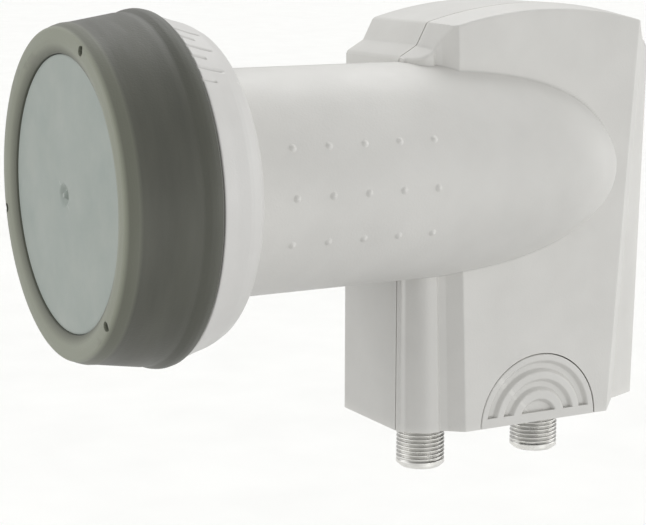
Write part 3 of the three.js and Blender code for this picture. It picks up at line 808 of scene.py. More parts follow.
# Barium titanate ceramic, pressed and fired: dry and buff with darker specks.
CERAMIC = Finish(
    name="dielectric_ceramic_fired",
    colour="#cdb892",
    shade="#bba57e",
    clouds=Pattern(0.6, 4.0),
    grain=Pattern(0.2),
    grain_depth=0.015,
    roughness=(0.5, 0.66),
    worn="#dccaa8",
)

# What each record slot is made of, for the CAD pieces that keep their own shape.
SLOT_FINISH = {
    "seal_rubber": RUBBER,
    "cast_metal": CASTING,
    "screw_steel": STEEL,
    "board_laminate": BOARD,
    "contact_brass": BRASS,
    "ptfe": FLUOROPOLYMER,
    "component_ceramic": CERAMIC,
    "chip_epoxy": EPOXY,
}


class Wardrobe:
    """Builds each finish once and dresses pieces in it."""

    def __init__(self) -> None:
        """Starts with no material built."""
        self._built: dict[str, bpy.types.Material] = {}

    def material(self, finish: Finish) -> bpy.types.Material:
        """The material of a finish, built on first use."""
        if finish.name not in self._built:
            self._built[finish.name] = finish.build()
        return self._built[finish.name]

    def dress(
        self, piece: bpy.types.Object, finish: Finish, body: str, replaces: Sequence[str] = ()
    ) -> None:
        """Gives a piece its material and its body, and hides the nodes it stands for.

        Args:
            piece: The finished object.
            finish: Its finish.
            body: The CAD body that it moves with.
            replaces: The CAD nodes that it stands for.
        """
        piece.data.materials.clear()
        piece.data.materials.append(self.material(finish))
        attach(piece, body)
        if replaces:
            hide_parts(*replaces)
        log.info("%s: %d faces, %s", piece.name, len(piece.data.polygons), finish.name)


# ---- Sizes that the pieces share ---------------------------------------------------------------------------

OPEN_SKY = 30.0  # a height above the shoulder that the roof's arch always cuts
HAIR = 0.01  # a stretch too short to see
EDGE_SHARE = 0.4  # the most that a rounding takes of a narrow face
OVERSHOOT = 1.0  # how far a cutter goes past what it cuts
PAD_MIDDLE = 27.7  # from the housing's front face to the pads' middle
NECK_CLEARANCE = 0.3  # from the neck to the collar's bore


def node_box(node: str) -> tuple[np.ndarray, np.ndarray]:
    """The lowest and highest corner of a CAD node, in millimetres."""
    low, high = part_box(node)
    return np.array(low) / MM, np.array(high) / MM


@dataclass
class Outline:
    """The housing's outer faces, which both shells and the shield follow.

    Args:
        front: The front face, along Y.
        rear: The rear face, along Y, at the bottom edge.
        bottom: The open lower edge.
        top: The highest point of the arched roof.
        far_x: The far shell's outer face.
        panel_x: The near shell's flat panel.
        neck_r: The neck's radius.
        neck_front: Where the neck ends under the collar.
        shoulder: How high the front and rear faces go.
        lean_rise: How far above the shoulder the faces have their whole lean.
        ledge: Depth and rise of the roof's first step.
        riser: Depth and rise of its second step.
        roof_draft: How far the roof falls from the seam to the panel.
        step_draft: How far the steps draw in from the seam to the panel.
        front_lean: How far the panel's front edge moves forwards from the bottom to the roof.
        rear_lean: How far its rear edge moves backwards.
        tilt: How far the rear face moves backwards.
        panel_front: From the front face to the panel, at the bottom.
        panel_rear: From the rear face to the panel, at the bottom.
        seam_rear: From the rear face to the seam, at the bottom.
        rear_corner_x: Where the far shell's rear chamfer starts.
        bulge_gap: From the rear face to the bulge's tip.
        taper_out: The two powers of the bulge's outward taper.
        taper_up: The two powers of its taper up and down.
        seam_gap: From the seam plane to each shell.
        wall: The shells' wall.
    """

    front: float
    rear: float
    bottom: float
    top: float
    far_x: float
    panel_x: float
    neck_r: float
    neck_front: float
    shoulder: float = 20.8
    lean_rise: float = 5.0
    ledge: tuple[float, float] = (3.7, 2.1)
    riser: tuple[float, float] = (2.2, 4.1)
    roof_draft: float = 0.9
    step_draft: float = 1.6
    front_lean: float = 2.9
    rear_lean: float = 5.1
    tilt: float = 1.7
    panel_front: float = 11.1
    panel_rear: float = 13.6
    seam_rear: float = 7.0
    rear_corner_x: float = -2.8
    bulge_gap: float = 14.6
    taper_out: tuple[float, float] = (5.0, 0.35)
    taper_up: tuple[float, float] = (2.2, 0.4)
    seam_gap: float = 0.15
    wall: float = 2.0

    @classmethod
    def from_frame(cls) -> "Outline":
        """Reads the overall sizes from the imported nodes. The neck's middle is the origin."""
        near_low, near_high = node_box("near_shell")
        far_low, far_high = node_box("far_shell")
        height = cls.shoulder - far_low[2]
        return cls(
            front=-node_box("scale_collar")[1][1],
            rear=far_high[1] - cls.tilt * height / (height + cls.lean_rise),
            bottom=far_low[2],
            top=far_high[2],
            far_x=far_low[0],
            panel_x=node_box("weather_shield")[1][0],
            neck_r=near_high[0],
            neck_front=near_low[1],
        )

    @property
    def middle(self) -> float:
        """The housing's middle, along Y."""
        return 0.5 * (self.front + self.rear)

    @property
    def tip(self) -> float:
        """The bulge's tip, along Y."""
        return self.rear - self.bulge_gap

    def lift(self, z: np.ndarray) -> np.ndarray:
        """How much of the lean a height has: 0 at the bottom edge and about 1 at the roof."""
        return (z - self.bottom) / (self.shoulder + self.lean_rise - self.bottom)

    def arch(self, y: np.ndarray) -> np.ndarray:
        """The roof's arch: a circle through its ends and its highest point.

        Args:
            y: Places along Y.

        Returns:
            The height at each place.
        """
        half = self.middle - self.front - self.ledge[0] - self.riser[0]
        rise = self.top - self.shoulder - self.ledge[1] - self.riser[1]
        radius = (half**2 + rise**2) / (2.0 * rise)
        return self.top - radius + np.sqrt(radius**2 - np.minimum(np.abs(y - self.middle), half) ** 2)

    def roof(self, y: np.ndarray, x: np.ndarray) -> np.ndarray:
        """The roof's height: a ledge, a riser and an arch from each end, falling towards the panel.

        Args:
            y: Places along Y.
            x: Places along X. The draft starts at the seam.

        Returns:
            The height at each place.
        """
        t = np.clip(x / self.panel_x, 0.0, 1.0)
        foot = self.ledge[0] + self.riser[0]
        heights = self.shoulder + np.array([0.0, self.ledge[1], self.ledge[1] + self.riser[1], OPEN_SKY])
        from_front = y - self.front - t * self.step_draft
        from_rear = self.rear + self.tilt - y - t * self.step_draft
        front = np.interp(from_front, [0.0, self.ledge[0], foot, foot + HAIR], heights)
        rear_foot = foot + self.tilt
        rear = np.interp(from_rear, [0.0, self.ledge[0], rear_foot, rear_foot + HAIR], heights)
        return np.minimum(np.minimum(front, rear), self.arch(y)) - t * self.roof_draft

    def bulge(self, y: np.ndarray, z: np.ndarray) -> np.ndarray:
        """How far out the neck and bulge reach.

        With u the share of the way from the front face to the tip, the outward radius is r times
        (1 - u^5)^0.35 and the radius up and down is r times (1 - u^2.2)^0.4.

        Args:
            y: Places along Y.
            z: Heights.

        Returns:
            The outward reach, 0 outside the bulge.
        """
        u = np.clip((y - self.front) / (self.tip - self.front), 0.0, 1.0)
        outwards = self.neck_r * (1.0 - u ** self.taper_out[0]) ** self.taper_out[1]
        upwards = self.neck_r * (1.0 - u ** self.taper_up[0]) ** self.taper_up[1]
        return outwards * np.sqrt(np.clip(1.0 - (z / np.maximum(upwards, 1e-6)) ** 2, 0.0, 1.0))


# ---- The housing -------------------------------------------------------------------------------------------


@dataclass
class ThumbPad:
    """A half-round pad with concentric grooves, one on each side of the shield.

    Args:
        y: Its middle along Y.
        z: Its flat lower edge.
        radius: Its radius.
        rings: The inner and outer radius of each groove.
        groove: The grooves' depth.
        slope: The width of a groove's sloping side.
        sill: The height of the plain strip under the grooves.
        edge: The rounding of its outer edge.
        circles: Circles of points on its face.
        facets: Facets round its half circle.
    """

    y: float
    z: float
    radius: float = 13.1
    rings: tuple[tuple[float, float], ...] = ((9.5, 12.0), (5.9, 8.4), (-1.0, 4.5))
    groove: float = 0.8
    slope: float = 0.8
    sill: float = 1.8
    edge: float = 0.25
    circles: int = 110
    facets: int = 96

    def depth(self, r: np.ndarray) -> np.ndarray:
        """The groove depth: a smooth step down and up at each groove's sides.

        Args:
            r: Radii.

        Returns:
            The depth at each radius.
        """
        total = np.zeros_like(r)
        for small, large in self.rings:
            inner = smoothstep(small, small + self.slope, r)
            total += self.groove * inner * (1.0 - smoothstep(large - self.slope, large, r))
        return total

    def build(self, name: str, face: float, inner: float) -> bpy.types.Object:
        """Makes one pad, between an outer face and an inner one.

        The face is a half disc in rings and angles: y is r cos a, z is r sin a, and x is the face less the
        groove. A plain strip is joined to it along the lower edge.

        Args:
            name: The pad's name.
            face: Where its outer face lies along X.
            inner: Where its back lies.

        Returns:
            The pad, closed.
        """
        outwards = math.copysign(1.0, face - inner)
        r = np.linspace(0.0, self.radius - self.edge, self.circles)
        turn = np.linspace(0.0, 0.5 * np.pi, 5)[1:]
        radius = np.concatenate([r, self.radius - self.edge * (1.0 - np.sin(turn)), [self.radius, 0.0]])
        rim = face - outwards * self.edge * (1.0 - np.cos(turn))
        x = np.concatenate([face - outwards * self.depth(r), rim, [inner, inner]])
        angle = np.linspace(0.0, np.pi, self.facets + 1)[None, :]
        y = self.y + radius[:, None] * np.cos(angle)
        z = self.z + radius[:, None] * np.sin(angle)
        disc = Surface.grid(np.stack([x[:, None] + 0.0 * angle, y, z], axis=-1))
        pad = disc.build(name, close=True)
        end = math.asin(self.sill / self.radius)
        corner = np.linspace(0.0, end, 6)
        sweep = np.concatenate([corner, np.pi - corner[::-1]])
        reach = self.radius - self.edge
        height = self.sill * np.sin(sweep) / math.sin(end)
        rim_line = np.stack([self.y + reach * np.cos(sweep), self.z + height], 1)
        ends = [np.column_stack([np.full(len(rim_line), at), rim_line]) for at in (face, inner)]
        strip = Surface.grid(np.stack(ends), columns_join=True).build(name + "_sill", close=True)
        return combine(pad, [strip], "UNION")

    def window(self, gap: float, start: float, end: float) -> bpy.types.Object:
        """The round cutter that opens a shell for this pad."""
        at = (0.0, self.y, self.z)
        return rod("x", at, self.radius + gap, start, end, 256).build("pad_window")


@dataclass(frozen=True)
class CornerPoint:
    """One place on the near shell's front corner, from above.

    Args:
        x: Its place along X.
        y: How far it is behind the front face at the bottom edge.
        lean: Its share of the panel's lean forwards.
        radius: Its rounding.
    """

    x: float
    y: float
    lean: float = 0.0
    radius: float = 0.0

    def at(self, lean: float) -> tuple[float, float, float]:
        """The place along X, the distance behind the front face and the rounding, at one lean."""
        return self.x, self.y - self.lean * lean, self.radius


@dataclass
class Housing:
    """The two shells, with the neck, the bulge, the grooved front corner and the stepped roof.

    Args:
        shape: The outer faces.
        pad: The pads that show in the shells' windows.
        fit: The gap round a pad.
        edge: The rounding of the roof's edge over the panel.
        far_edge: The rounding between the far side and the faces round it.
        lip: Where the narrow lip by the seam ends.
        groove: The far side of the shallow groove next to it.
        column_ends: Where the rounded column starts and ends.
        column_swell: How far the column stands out in its middle, along X and Y.
        slot: The bottom of the slot behind the column.
        flank: Where the flank starts, which runs on to the panel.
        panel_round: The rounding at the panel's front and rear edges.
        neck_rows: Rows round the neck's half circle.
        near_step: The longest stretch between points along the near shell's plan.
        far_step: The longest stretch between points along the far shell's side path.
        blend: The reach of the fillet between the bulge and the panel.
        blend_run: How far behind the front face the fillet reaches its whole size.
        seam_vee: Depth and width of the broken edge of the far shell at the rear seam.
        roof_radii: The rounding of the shoulder, of the ledge's end and of the riser's top.
        bore_gap: How much smaller the far shell's way through is than the neck's bore.
    """

    shape: Outline
    pad: ThumbPad
    fit: float = 0.2
    edge: float = 0.45
    far_edge: float = 0.8
    lip: CornerPoint = CornerPoint(1.5, 0.08, radius=0.3)
    groove: CornerPoint = CornerPoint(1.73, 1.1, 0.2, 0.5)
    column_ends: tuple[CornerPoint, CornerPoint] = (CornerPoint(2.6, 1.9, 0.35), CornerPoint(4.95, 6.45, 0.8))
    column_swell: tuple[float, float] = (0.66, -0.3525)
    slot: CornerPoint = CornerPoint(4.45, 7.15, 0.8, 0.1)
    flank: CornerPoint = CornerPoint(5.05, 8.45, 0.85, 0.15)
    panel_round: float = 0.3
    neck_rows: int = 145
    near_step: float = 0.35
    far_step: float = 1.4
    blend: float = 0.6
    blend_run: float = 7.0
    seam_vee: tuple[float, float] = (0.75, 0.4)
    roof_radii: tuple[float, float, float] = (1.0, 0.6, 1.0)
    bore_gap: float = 0.1

    def neck(self, side: Side, end: float) -> np.ndarray:
        """The half cylinder of the neck: x is r cos a, z is r sin a, and y runs along it.

        Args:
            side: Which half.
            end: Where it ends along Y.

        Returns:
            Rows round the neck by columns along it.
        """
        shape = self.shape
        angle = np.linspace(-0.5 * np.pi, 0.5 * np.pi, self.neck_rows)[:, None]
        y = np.linspace(shape.neck_front, end, 31)[None, :]
        x = side.value * np.maximum(shape.neck_r * np.cos(angle), shape.seam_gap)
        return np.stack([x + 0.0 * y, y + 0.0 * angle, shape.neck_r * np.sin(angle) + 0.0 * y], axis=-1)

    def near_plan(self, lift: float) -> np.ndarray:
        """The near shell from above, at the bottom edge (0) or the roof (1).

        From the seam it has a narrow lip, a shallow groove, a rounded column, a slot, a flank, the flat panel
        and a chamfer back to the seam. The column is a straight line pushed out by a half sine.

        Args:
            lift: How much of the lean it has.

        Returns:
            The points in X and Y.
        """
        shape = self.shape
        lean = shape.front_lean * lift
        start, end = (np.array(place.at(lean)) for place in self.column_ends)
        share = np.linspace(0.0, 1.0, 9)[:, None]
        column = start + (end - start) * share + np.sin(np.pi * share) * np.array([*self.column_swell, 0.0])
        panel_edge = CornerPoint(shape.panel_x, shape.panel_front, 1.0, self.panel_round)
        before = [CornerPoint(shape.seam_gap, 0.0), self.lip, self.groove]
        corner = [place.at(lean) for place in before] + column.tolist()
        corner += [place.at(lean) for place in (self.slot, self.flank, panel_edge)]
        front = [(x, shape.front + y, radius) for x, y, radius in corner]
        back = shape.rear_lean * lift
        rear = [
            (shape.panel_x, shape.rear - shape.panel_rear + back, self.panel_round),
            (shape.seam_gap, shape.rear - shape.seam_rear + back, 0.0),
        ]
        return rounded(front + rear)

    def near_sheet(self) -> Surface:
        """The near shell's outer face, as stations along its plan by rows up its height and over the roof.

        Each row takes its plan between the bottom's and the roof's by its height. Above the neck the rows
        crowd up to the roof, turn through the edge's rounding and run in to the seam. The bulge is blended
        over them.

        Returns:
            The open sheet, with the near half of the neck.
        """
        shape = self.shape
        low_plan, high_plan = self.near_plan(0.0), self.near_plan(1.0)
        places = spread(low_plan, self.near_step)
        low_plan, high_plan = along(low_plan, places), along(high_plan, places)

        def at(z: np.ndarray) -> np.ndarray:
            """The plan at each height, mixed between its two ends."""
            lift = shape.lift(z)[..., None]
            return low_plan * (1.0 - lift) + high_plan * lift

        # The plan leans with the height and the roof falls with the plan, so both are settled in turn.
        crown = np.full(len(places), shape.shoulder)
        for _ in range(4):
            plan = at(crown)
            crown = shape.roof(plan[:, 1], plan[:, 0])
        edge = np.minimum(self.edge, EDGE_SHARE * (plan[:, 0] - shape.seam_gap))
        round_neck = np.sin(np.linspace(-0.5 * np.pi, 0.5 * np.pi, self.neck_rows)) * shape.neck_r
        below = np.linspace(shape.bottom, -shape.neck_r, 31)[:-1]
        plain = np.concatenate([below, round_neck])[:, None] + 0.0 * crown
        share = np.linspace(0.0, 1.0, 13)[1:, None]
        z = np.concatenate([plain, shape.neck_r + (crown - edge - shape.neck_r) * share])
        wall = at(z)
        x, y = wall[..., 0], wall[..., 1]
        reach = HAIR + self.blend * smoothstep(shape.front, shape.front + self.blend_run, y)
        blended = smooth_max(x, shape.bulge(y, z), reach)
        x = np.where(np.abs(z) <= shape.neck_r, blended, x)
        on_seam = np.maximum(shape.bulge(y[:, 0], z[:, 0]), shape.seam_gap)
        x[:, 0] = np.where(np.abs(z[:, 0]) <= shape.neck_r, on_seam, x[:, 0])
        turn = np.linspace(0.0, 0.5 * np.pi, 6)[1:, None]
        x_round = plan[:, 0] - edge * (1.0 - np.cos(turn))
        inwards = np.linspace(0.0, 1.0, 9)[1:, None]
        x_roof = (plan[:, 0] - edge) * (1.0 - inwards) + shape.seam_gap * inwards
        x_over = np.concatenate([x_round, x_roof])
        y_over = plan[:, 1] + 0.0 * x_over
        drop = np.concatenate([edge * (1.0 - np.sin(turn)), 0.0 * x_roof])
        z_over = shape.roof(y_over, x_over) - drop
        body = np.stack([np.vstack([x, x_over]), np.vstack([y, y_over]), np.vstack([z, z_over])], axis=-1)
        return Surface.grid(body).plus(Surface.grid(self.neck(Side.NEAR, shape.front)))

    def near_shell(self) -> bpy.types.Object:
        """Makes the near shell, with its wall and the window for the pad.

        Returns:
            The shell.
        """
        shape = self.shape
        shell = self.near_sheet().build("near_shell_moulding", inside=(-5.0, shape.middle, 0.0))
        thicken(shell, shape.wall)
        window = self.pad.window(self.fit, shape.panel_x - 2.0 * shape.wall, shape.panel_x + OVERSHOOT)
        return combine(shell, [window], "DIFFERENCE")

    def side_path(self) -> np.ndarray:
        """The housing from the side, from the bottom of the front face over the roof to the rear's bottom.

        Returns:
            The points in Y and Z.
        """
        shape = self.shape
        foot = shape.ledge[0] + shape.riser[0]
        shoulder_round, ledge_round, riser_round = self.roof_radii
        steps = [
            (0.0, shape.bottom, 0.0),
            (0.0, shape.shoulder, shoulder_round),
            (shape.ledge[0], shape.shoulder + shape.ledge[1], ledge_round),
            (foot, shape.shoulder + shape.ledge[1] + shape.riser[1], riser_round),
        ]
        y = np.linspace(shape.front + foot, shape.rear - foot, 27)[1:-1]
        front = [(shape.front + d, z, radius) for d, z, radius in steps]
        rear = [(shape.rear - d + shape.tilt, z, radius) for d, z, radius in reversed(steps)]
        rear[0] = (shape.rear - foot, *rear[0][1:])
        path = without_repeats(rounded(front + [(a, b, 0.0) for a, b in zip(y, shape.arch(y))] + rear))
        return along(path, spread(path, self.far_step))

    def far_sheet(self) -> Surface:
        """The far shell's box: the side path carried out along X, rounded into a flat side.

        At x the path is moved inwards by R (1 - cos a) while x goes on by R sin a. Near the seam the rear
        face is cut back to the chamfer, and its rim at the seam is broken.

        Returns:
            The open sheet.
        """
        shape = self.shape
        path = self.side_path()
        tangent = np.gradient(path, axis=0)
        tangent /= np.linalg.norm(tangent, axis=1)[:, None]
        inwards = np.stack([tangent[:, 1], -tangent[:, 0]], axis=1)
        inwards[[0, -1], 1] = 0.0
        vee_depth, vee_width = self.seam_vee
        flat = [-shape.seam_gap, -shape.seam_gap - vee_width, -1.0, -1.9, shape.rear_corner_x]
        flat += np.arange(-4.0, shape.far_x + 1.0, -4.0).tolist()
        turn = np.linspace(0.0, 0.5 * np.pi, 7)
        x = np.concatenate([flat, shape.far_x + self.far_edge * (1.0 - np.sin(turn))])
        move = np.concatenate([np.zeros(len(flat)), self.far_edge * (1.0 - np.cos(turn))])
        yz = path[:, None] + inwards[:, None] * move[None, :, None]
        y, z = yz[..., 0], yz[..., 1]
        lift = shape.lift(z)
        cut = shape.seam_rear - (shape.rear_lean - shape.tilt) * lift
        share = np.clip(1.0 - x / shape.rear_corner_x, 0.0, 1.0)[None, :]
        vee = vee_depth * np.clip(1.0 + (x + shape.seam_gap) / vee_width, 0.0, 1.0)
        y = np.minimum(y, shape.rear + shape.tilt * lift - cut * share - vee - move)
        made = Surface.grid(np.stack([x[None, :] + 0.0 * y, y, z], axis=-1))
        last = tuple(range(len(x) - 1, len(made.points), len(x)))
        made.faces.append(last)
        return made

    def far_shell(self) -> bpy.types.Object:
        """Makes the far shell, with its half of the neck, the neck's way through and the pad's window.

        Returns:
            The shell.
        """
        shape = self.shape
        box = self.far_sheet().build("far_box", inside=(0.0, shape.middle, 0.0))
        thicken(box, shape.wall)
        bore_r = shape.neck_r - shape.wall - self.bore_gap
        start, end = shape.front - OVERSHOOT, shape.front + shape.wall + OVERSHOOT
        bore = rod("y", (0.0, 0.0, 0.0), bore_r, start, end)
        window = self.pad.window(self.fit, shape.far_x - OVERSHOOT, shape.far_x + 2.0 * shape.wall)
        combine(box, [bore.build("bore"), window], "DIFFERENCE")
        neck = Surface.grid(self.neck(Side.FAR, shape.front + 0.5 * shape.wall))
        neck_object = neck.build("far_neck", inside=(0.0, 0.0, 0.0))
        thicken(neck_object, shape.wall)
        return settle(joined("far_shell_moulding", [box, neck_object]))

    def build(self, wardrobe: Wardrobe) -> None:
        """Makes both shells and the grip pips, and dresses them.

        Args:
            wardrobe: Makes the materials and dresses the pieces.
        """
        wardrobe.dress(self.near_shell(), SHELL, HOUSING_BODY, ["near_shell"])
        wardrobe.dress(self.far_shell(), SHELL, HOUSING_BODY, ["far_shell"])
        wardrobe.dress(GripPips(self.shape.neck_r).object(), SHELL, HOUSING_BODY)


@dataclass
class GripPips:
    """Small domes on the near side of the neck, in three rows.

    Args:
        neck_r: The radius they stand on.
        rows: The angle of each row.
        first: The first pip's place along Y.
        pitch: The spacing along a row.
        count: Pips in a row.
        radius: A pip's radius, with its flared foot.
        height: How far it stands proud.
        sink: How far its foot is let into the neck.
    """

    neck_r: float
    rows: tuple[float, ...] = (23.5, -1.0, -25.0)
    first: float = -12.0
    pitch: float = 6.93
    count: int = 5
    radius: float = 0.85
    height: float = 0.42
    sink: float = 0.03

    def object(self) -> bpy.types.Object:
        """Makes all the pips. With s the share of the radius, the height falls as (1 - s^2)^2.

        Returns:
            One object that holds every pip.
        """
        s = np.linspace(0.0, 1.0, 7)[None, :, None]
        turn = np.linspace(0.0, 2.0 * np.pi, 24, endpoint=False)[None, None, :]
        row, column = np.meshgrid(np.radians(self.rows), self.first + self.pitch * np.arange(self.count))
        angle = row.ravel()[:, None, None] + s * self.radius * np.sin(turn) / self.neck_r
        y = column.ravel()[:, None, None] + s * self.radius * np.cos(turn)
        r = self.neck_r - self.sink + self.height * (1.0 - s**2) ** 2 + 0.0 * angle
        points = np.stack([r * np.cos(angle), y, r * np.sin(angle)], axis=-1)
        made = Surface(np.zeros((0, 3)), [])
        for pip in points:
            made = made.plus(Surface.grid(pip, columns_join=True))
        return settle(made.build("grip_pips", inside=(0.0, 0.0, 0.0), close=True), 60.0)


@dataclass
class Shield:
    """The sliding weather shield: a thin sleeve inside the shells with a thumb pad on each side.

    Args:
        shape: The housing's outer faces.
        pad: The pads.
        top: The sleeve's upper edge.
        gap: From the housing's outer face to the sleeve's.
        wall: The sleeve's wall.
        corner: The rounding of the sleeve's corners.
    """

    shape: Outline
    pad: ThumbPad
    top: float
    gap: float = 2.5
    wall: float = 1.5
    corner: float = 0.9

    def sleeve(self) -> bpy.types.Object:
        """Makes the sleeve: the housing's lower outline, moved inwards and carried up.

        Returns:
            The sleeve.
        """
        shape = self.shape
        outline = np.array(
            [
                (shape.far_x, shape.front),
                (0.0, shape.front),
                (shape.panel_x, shape.front + shape.panel_front),
                (shape.panel_x, shape.rear - shape.panel_rear),
                (0.0, shape.rear - shape.seam_rear),
                (shape.rear_corner_x, shape.rear),
                (shape.far_x, shape.rear),
            ]
        )
        corners = inset(outline, self.gap)
        path = rounded(np.column_stack([corners, np.full(len(corners), self.corner)]), 6, closed=True)
        z = np.linspace(shape.bottom, self.top, 14)[:, None]
        points = np.stack([path[:, 0] + 0.0 * z, path[:, 1] + 0.0 * z, z + 0.0 * path[:, 0]], axis=-1)
        inside = (0.5 * shape.far_x, shape.middle, shape.bottom)
        return thicken(Surface.grid(points, columns_join=True).build("sleeve", inside), self.wall)

    def build(self, wardrobe: Wardrobe) -> None:
        """Makes the shield and dresses it.

        Args:
            wardrobe: Makes the materials and dresses the pieces.
        """
        shape = self.shape
        depth = self.gap + 0.5 * self.wall
        near = self.pad.build("near_pad", shape.panel_x, shape.panel_x - depth)
        far = self.pad.build("far_pad", shape.far_x, shape.far_x + depth)
        made = joined("weather_shield_moulding", [self.sleeve(), near, far])
        wardrobe.dress(settle(made), SHELL, SHIELD_BODY, ["weather_shield"])


# ---- The feed ----------------------------------------------------------------------------------------------


@dataclass
class ScaleCollar:
    """The pale ring behind the cap, with engraved setting marks on its upper near side.

    Args:
        front: Its front edge along Y.
        rear: Its rear edge along Y.
        outer: Its largest radius.
        inner: Its bore.
        wall: Its wall.
        slope: The outside's corners: drop from the largest radius, share of the length and rounding.
        foot: Width and slope of the rear face beside the neck.
        hollow: How much lower than the outside the inside lies at its two corners.
        marks: The angle of the first mark and the step to the next.
        count: How many marks.
        lengths: Where the short and the long marks end behind the front edge.
        width: The width of a mark.
        depth: Its depth.
    """

    front: float
    rear: float
    outer: float
    inner: float
    wall: float = 2.4
    slope: tuple[tuple[float, float, float], ...] = (
        (0.0, 0.0, 0.3),
        (0.95, 0.27, 6.0),
        (1.75, 0.55, 4.0),
        (3.0, 0.77, 2.0),
        (5.2, 0.9, 2.0),
    )
    foot: tuple[float, float] = (1.7, 0.4)
    hollow: tuple[float, float] = (5.6, 1.8)
    marks: tuple[float, float] = (43.0, 5.15)
    count: int = 6
    lengths: tuple[float, float] = (3.0, 5.2)
    width: float = 0.75
    depth: float = 0.24

    def profile(self) -> np.ndarray:
        """The collar's section: a shallow cone, a shoulder and a rear face that closes on the neck.

        Returns:
            Radius and place along Y, one row each.
        """
        length = self.rear - self.front
        outside = [(self.outer - drop, self.front + share * length, r) for drop, share, r in self.slope]
        foot = [(self.inner + self.foot[0], self.rear - self.foot[1], 0.6), (self.inner, self.rear, 0.25)]
        within = [
            (self.inner, self.rear - self.wall, 0.2),
            (self.outer - self.hollow[0], self.rear - self.wall - 1.6, 2.0),
            (self.outer - self.hollow[1] - self.wall, self.front + 0.3 * length, 2.0),
            (self.outer - self.wall, self.front, 0.2),
        ]
        return loop_points(outside + foot + within, 0.4)

    def build(self, wardrobe: Wardrobe) -> None:
        """Makes the collar and dresses it.

        The profile is turned about Y with crowded angles across the marks. A mark is a groove whose depth
        falls with the square of the distance from its middle line, and it starts under the cap's bead.

        Args:
            wardrobe: Makes the materials and dresses the pieces.
        """
        profile = self.profile()
        start, step = self.marks
        margin = 2.0
        first, last = start - margin, start + step * (self.count - 1) + margin
        crowded = np.arange(first, last, 0.25)
        plain = np.arange(last, first + 360.0, 1.5)
        angle = np.radians(np.concatenate([crowded, plain]))[None, :]
        r, y = profile[:, :1], profile[:, 1:]
        groove = np.zeros((len(profile), angle.shape[1]))
        for i in range(self.count):
            centre = math.radians(start + step * i)
            across = np.abs(angle - centre) * self.outer / (0.5 * self.width)
            end = self.front + self.lengths[i % 2]
            inside = 1.0 - smoothstep(end - 0.4, end, y)
            groove = np.maximum(groove, np.clip(1.0 - across**2, 0.0, 1.0) * inside)
        lifted = r + 0.32 * (y - self.front)  # the cone as a cylinder, well clear of the inside
        on_outside = smoothstep(self.outer - self.wall, self.outer - self.wall + 0.3, lifted)
        r = r - self.depth * groove * on_outside
        points = np.stack([r * np.cos(angle), y + 0.0 * angle, r * np.sin(angle)], axis=-1)
        made = Surface.grid(points, rows_join=True, columns_join=True).build("scale_collar_moulding")
        wardrobe.dress(settle(made, 40.0), COLLAR, HOUSING_BODY, ["scale_collar"])


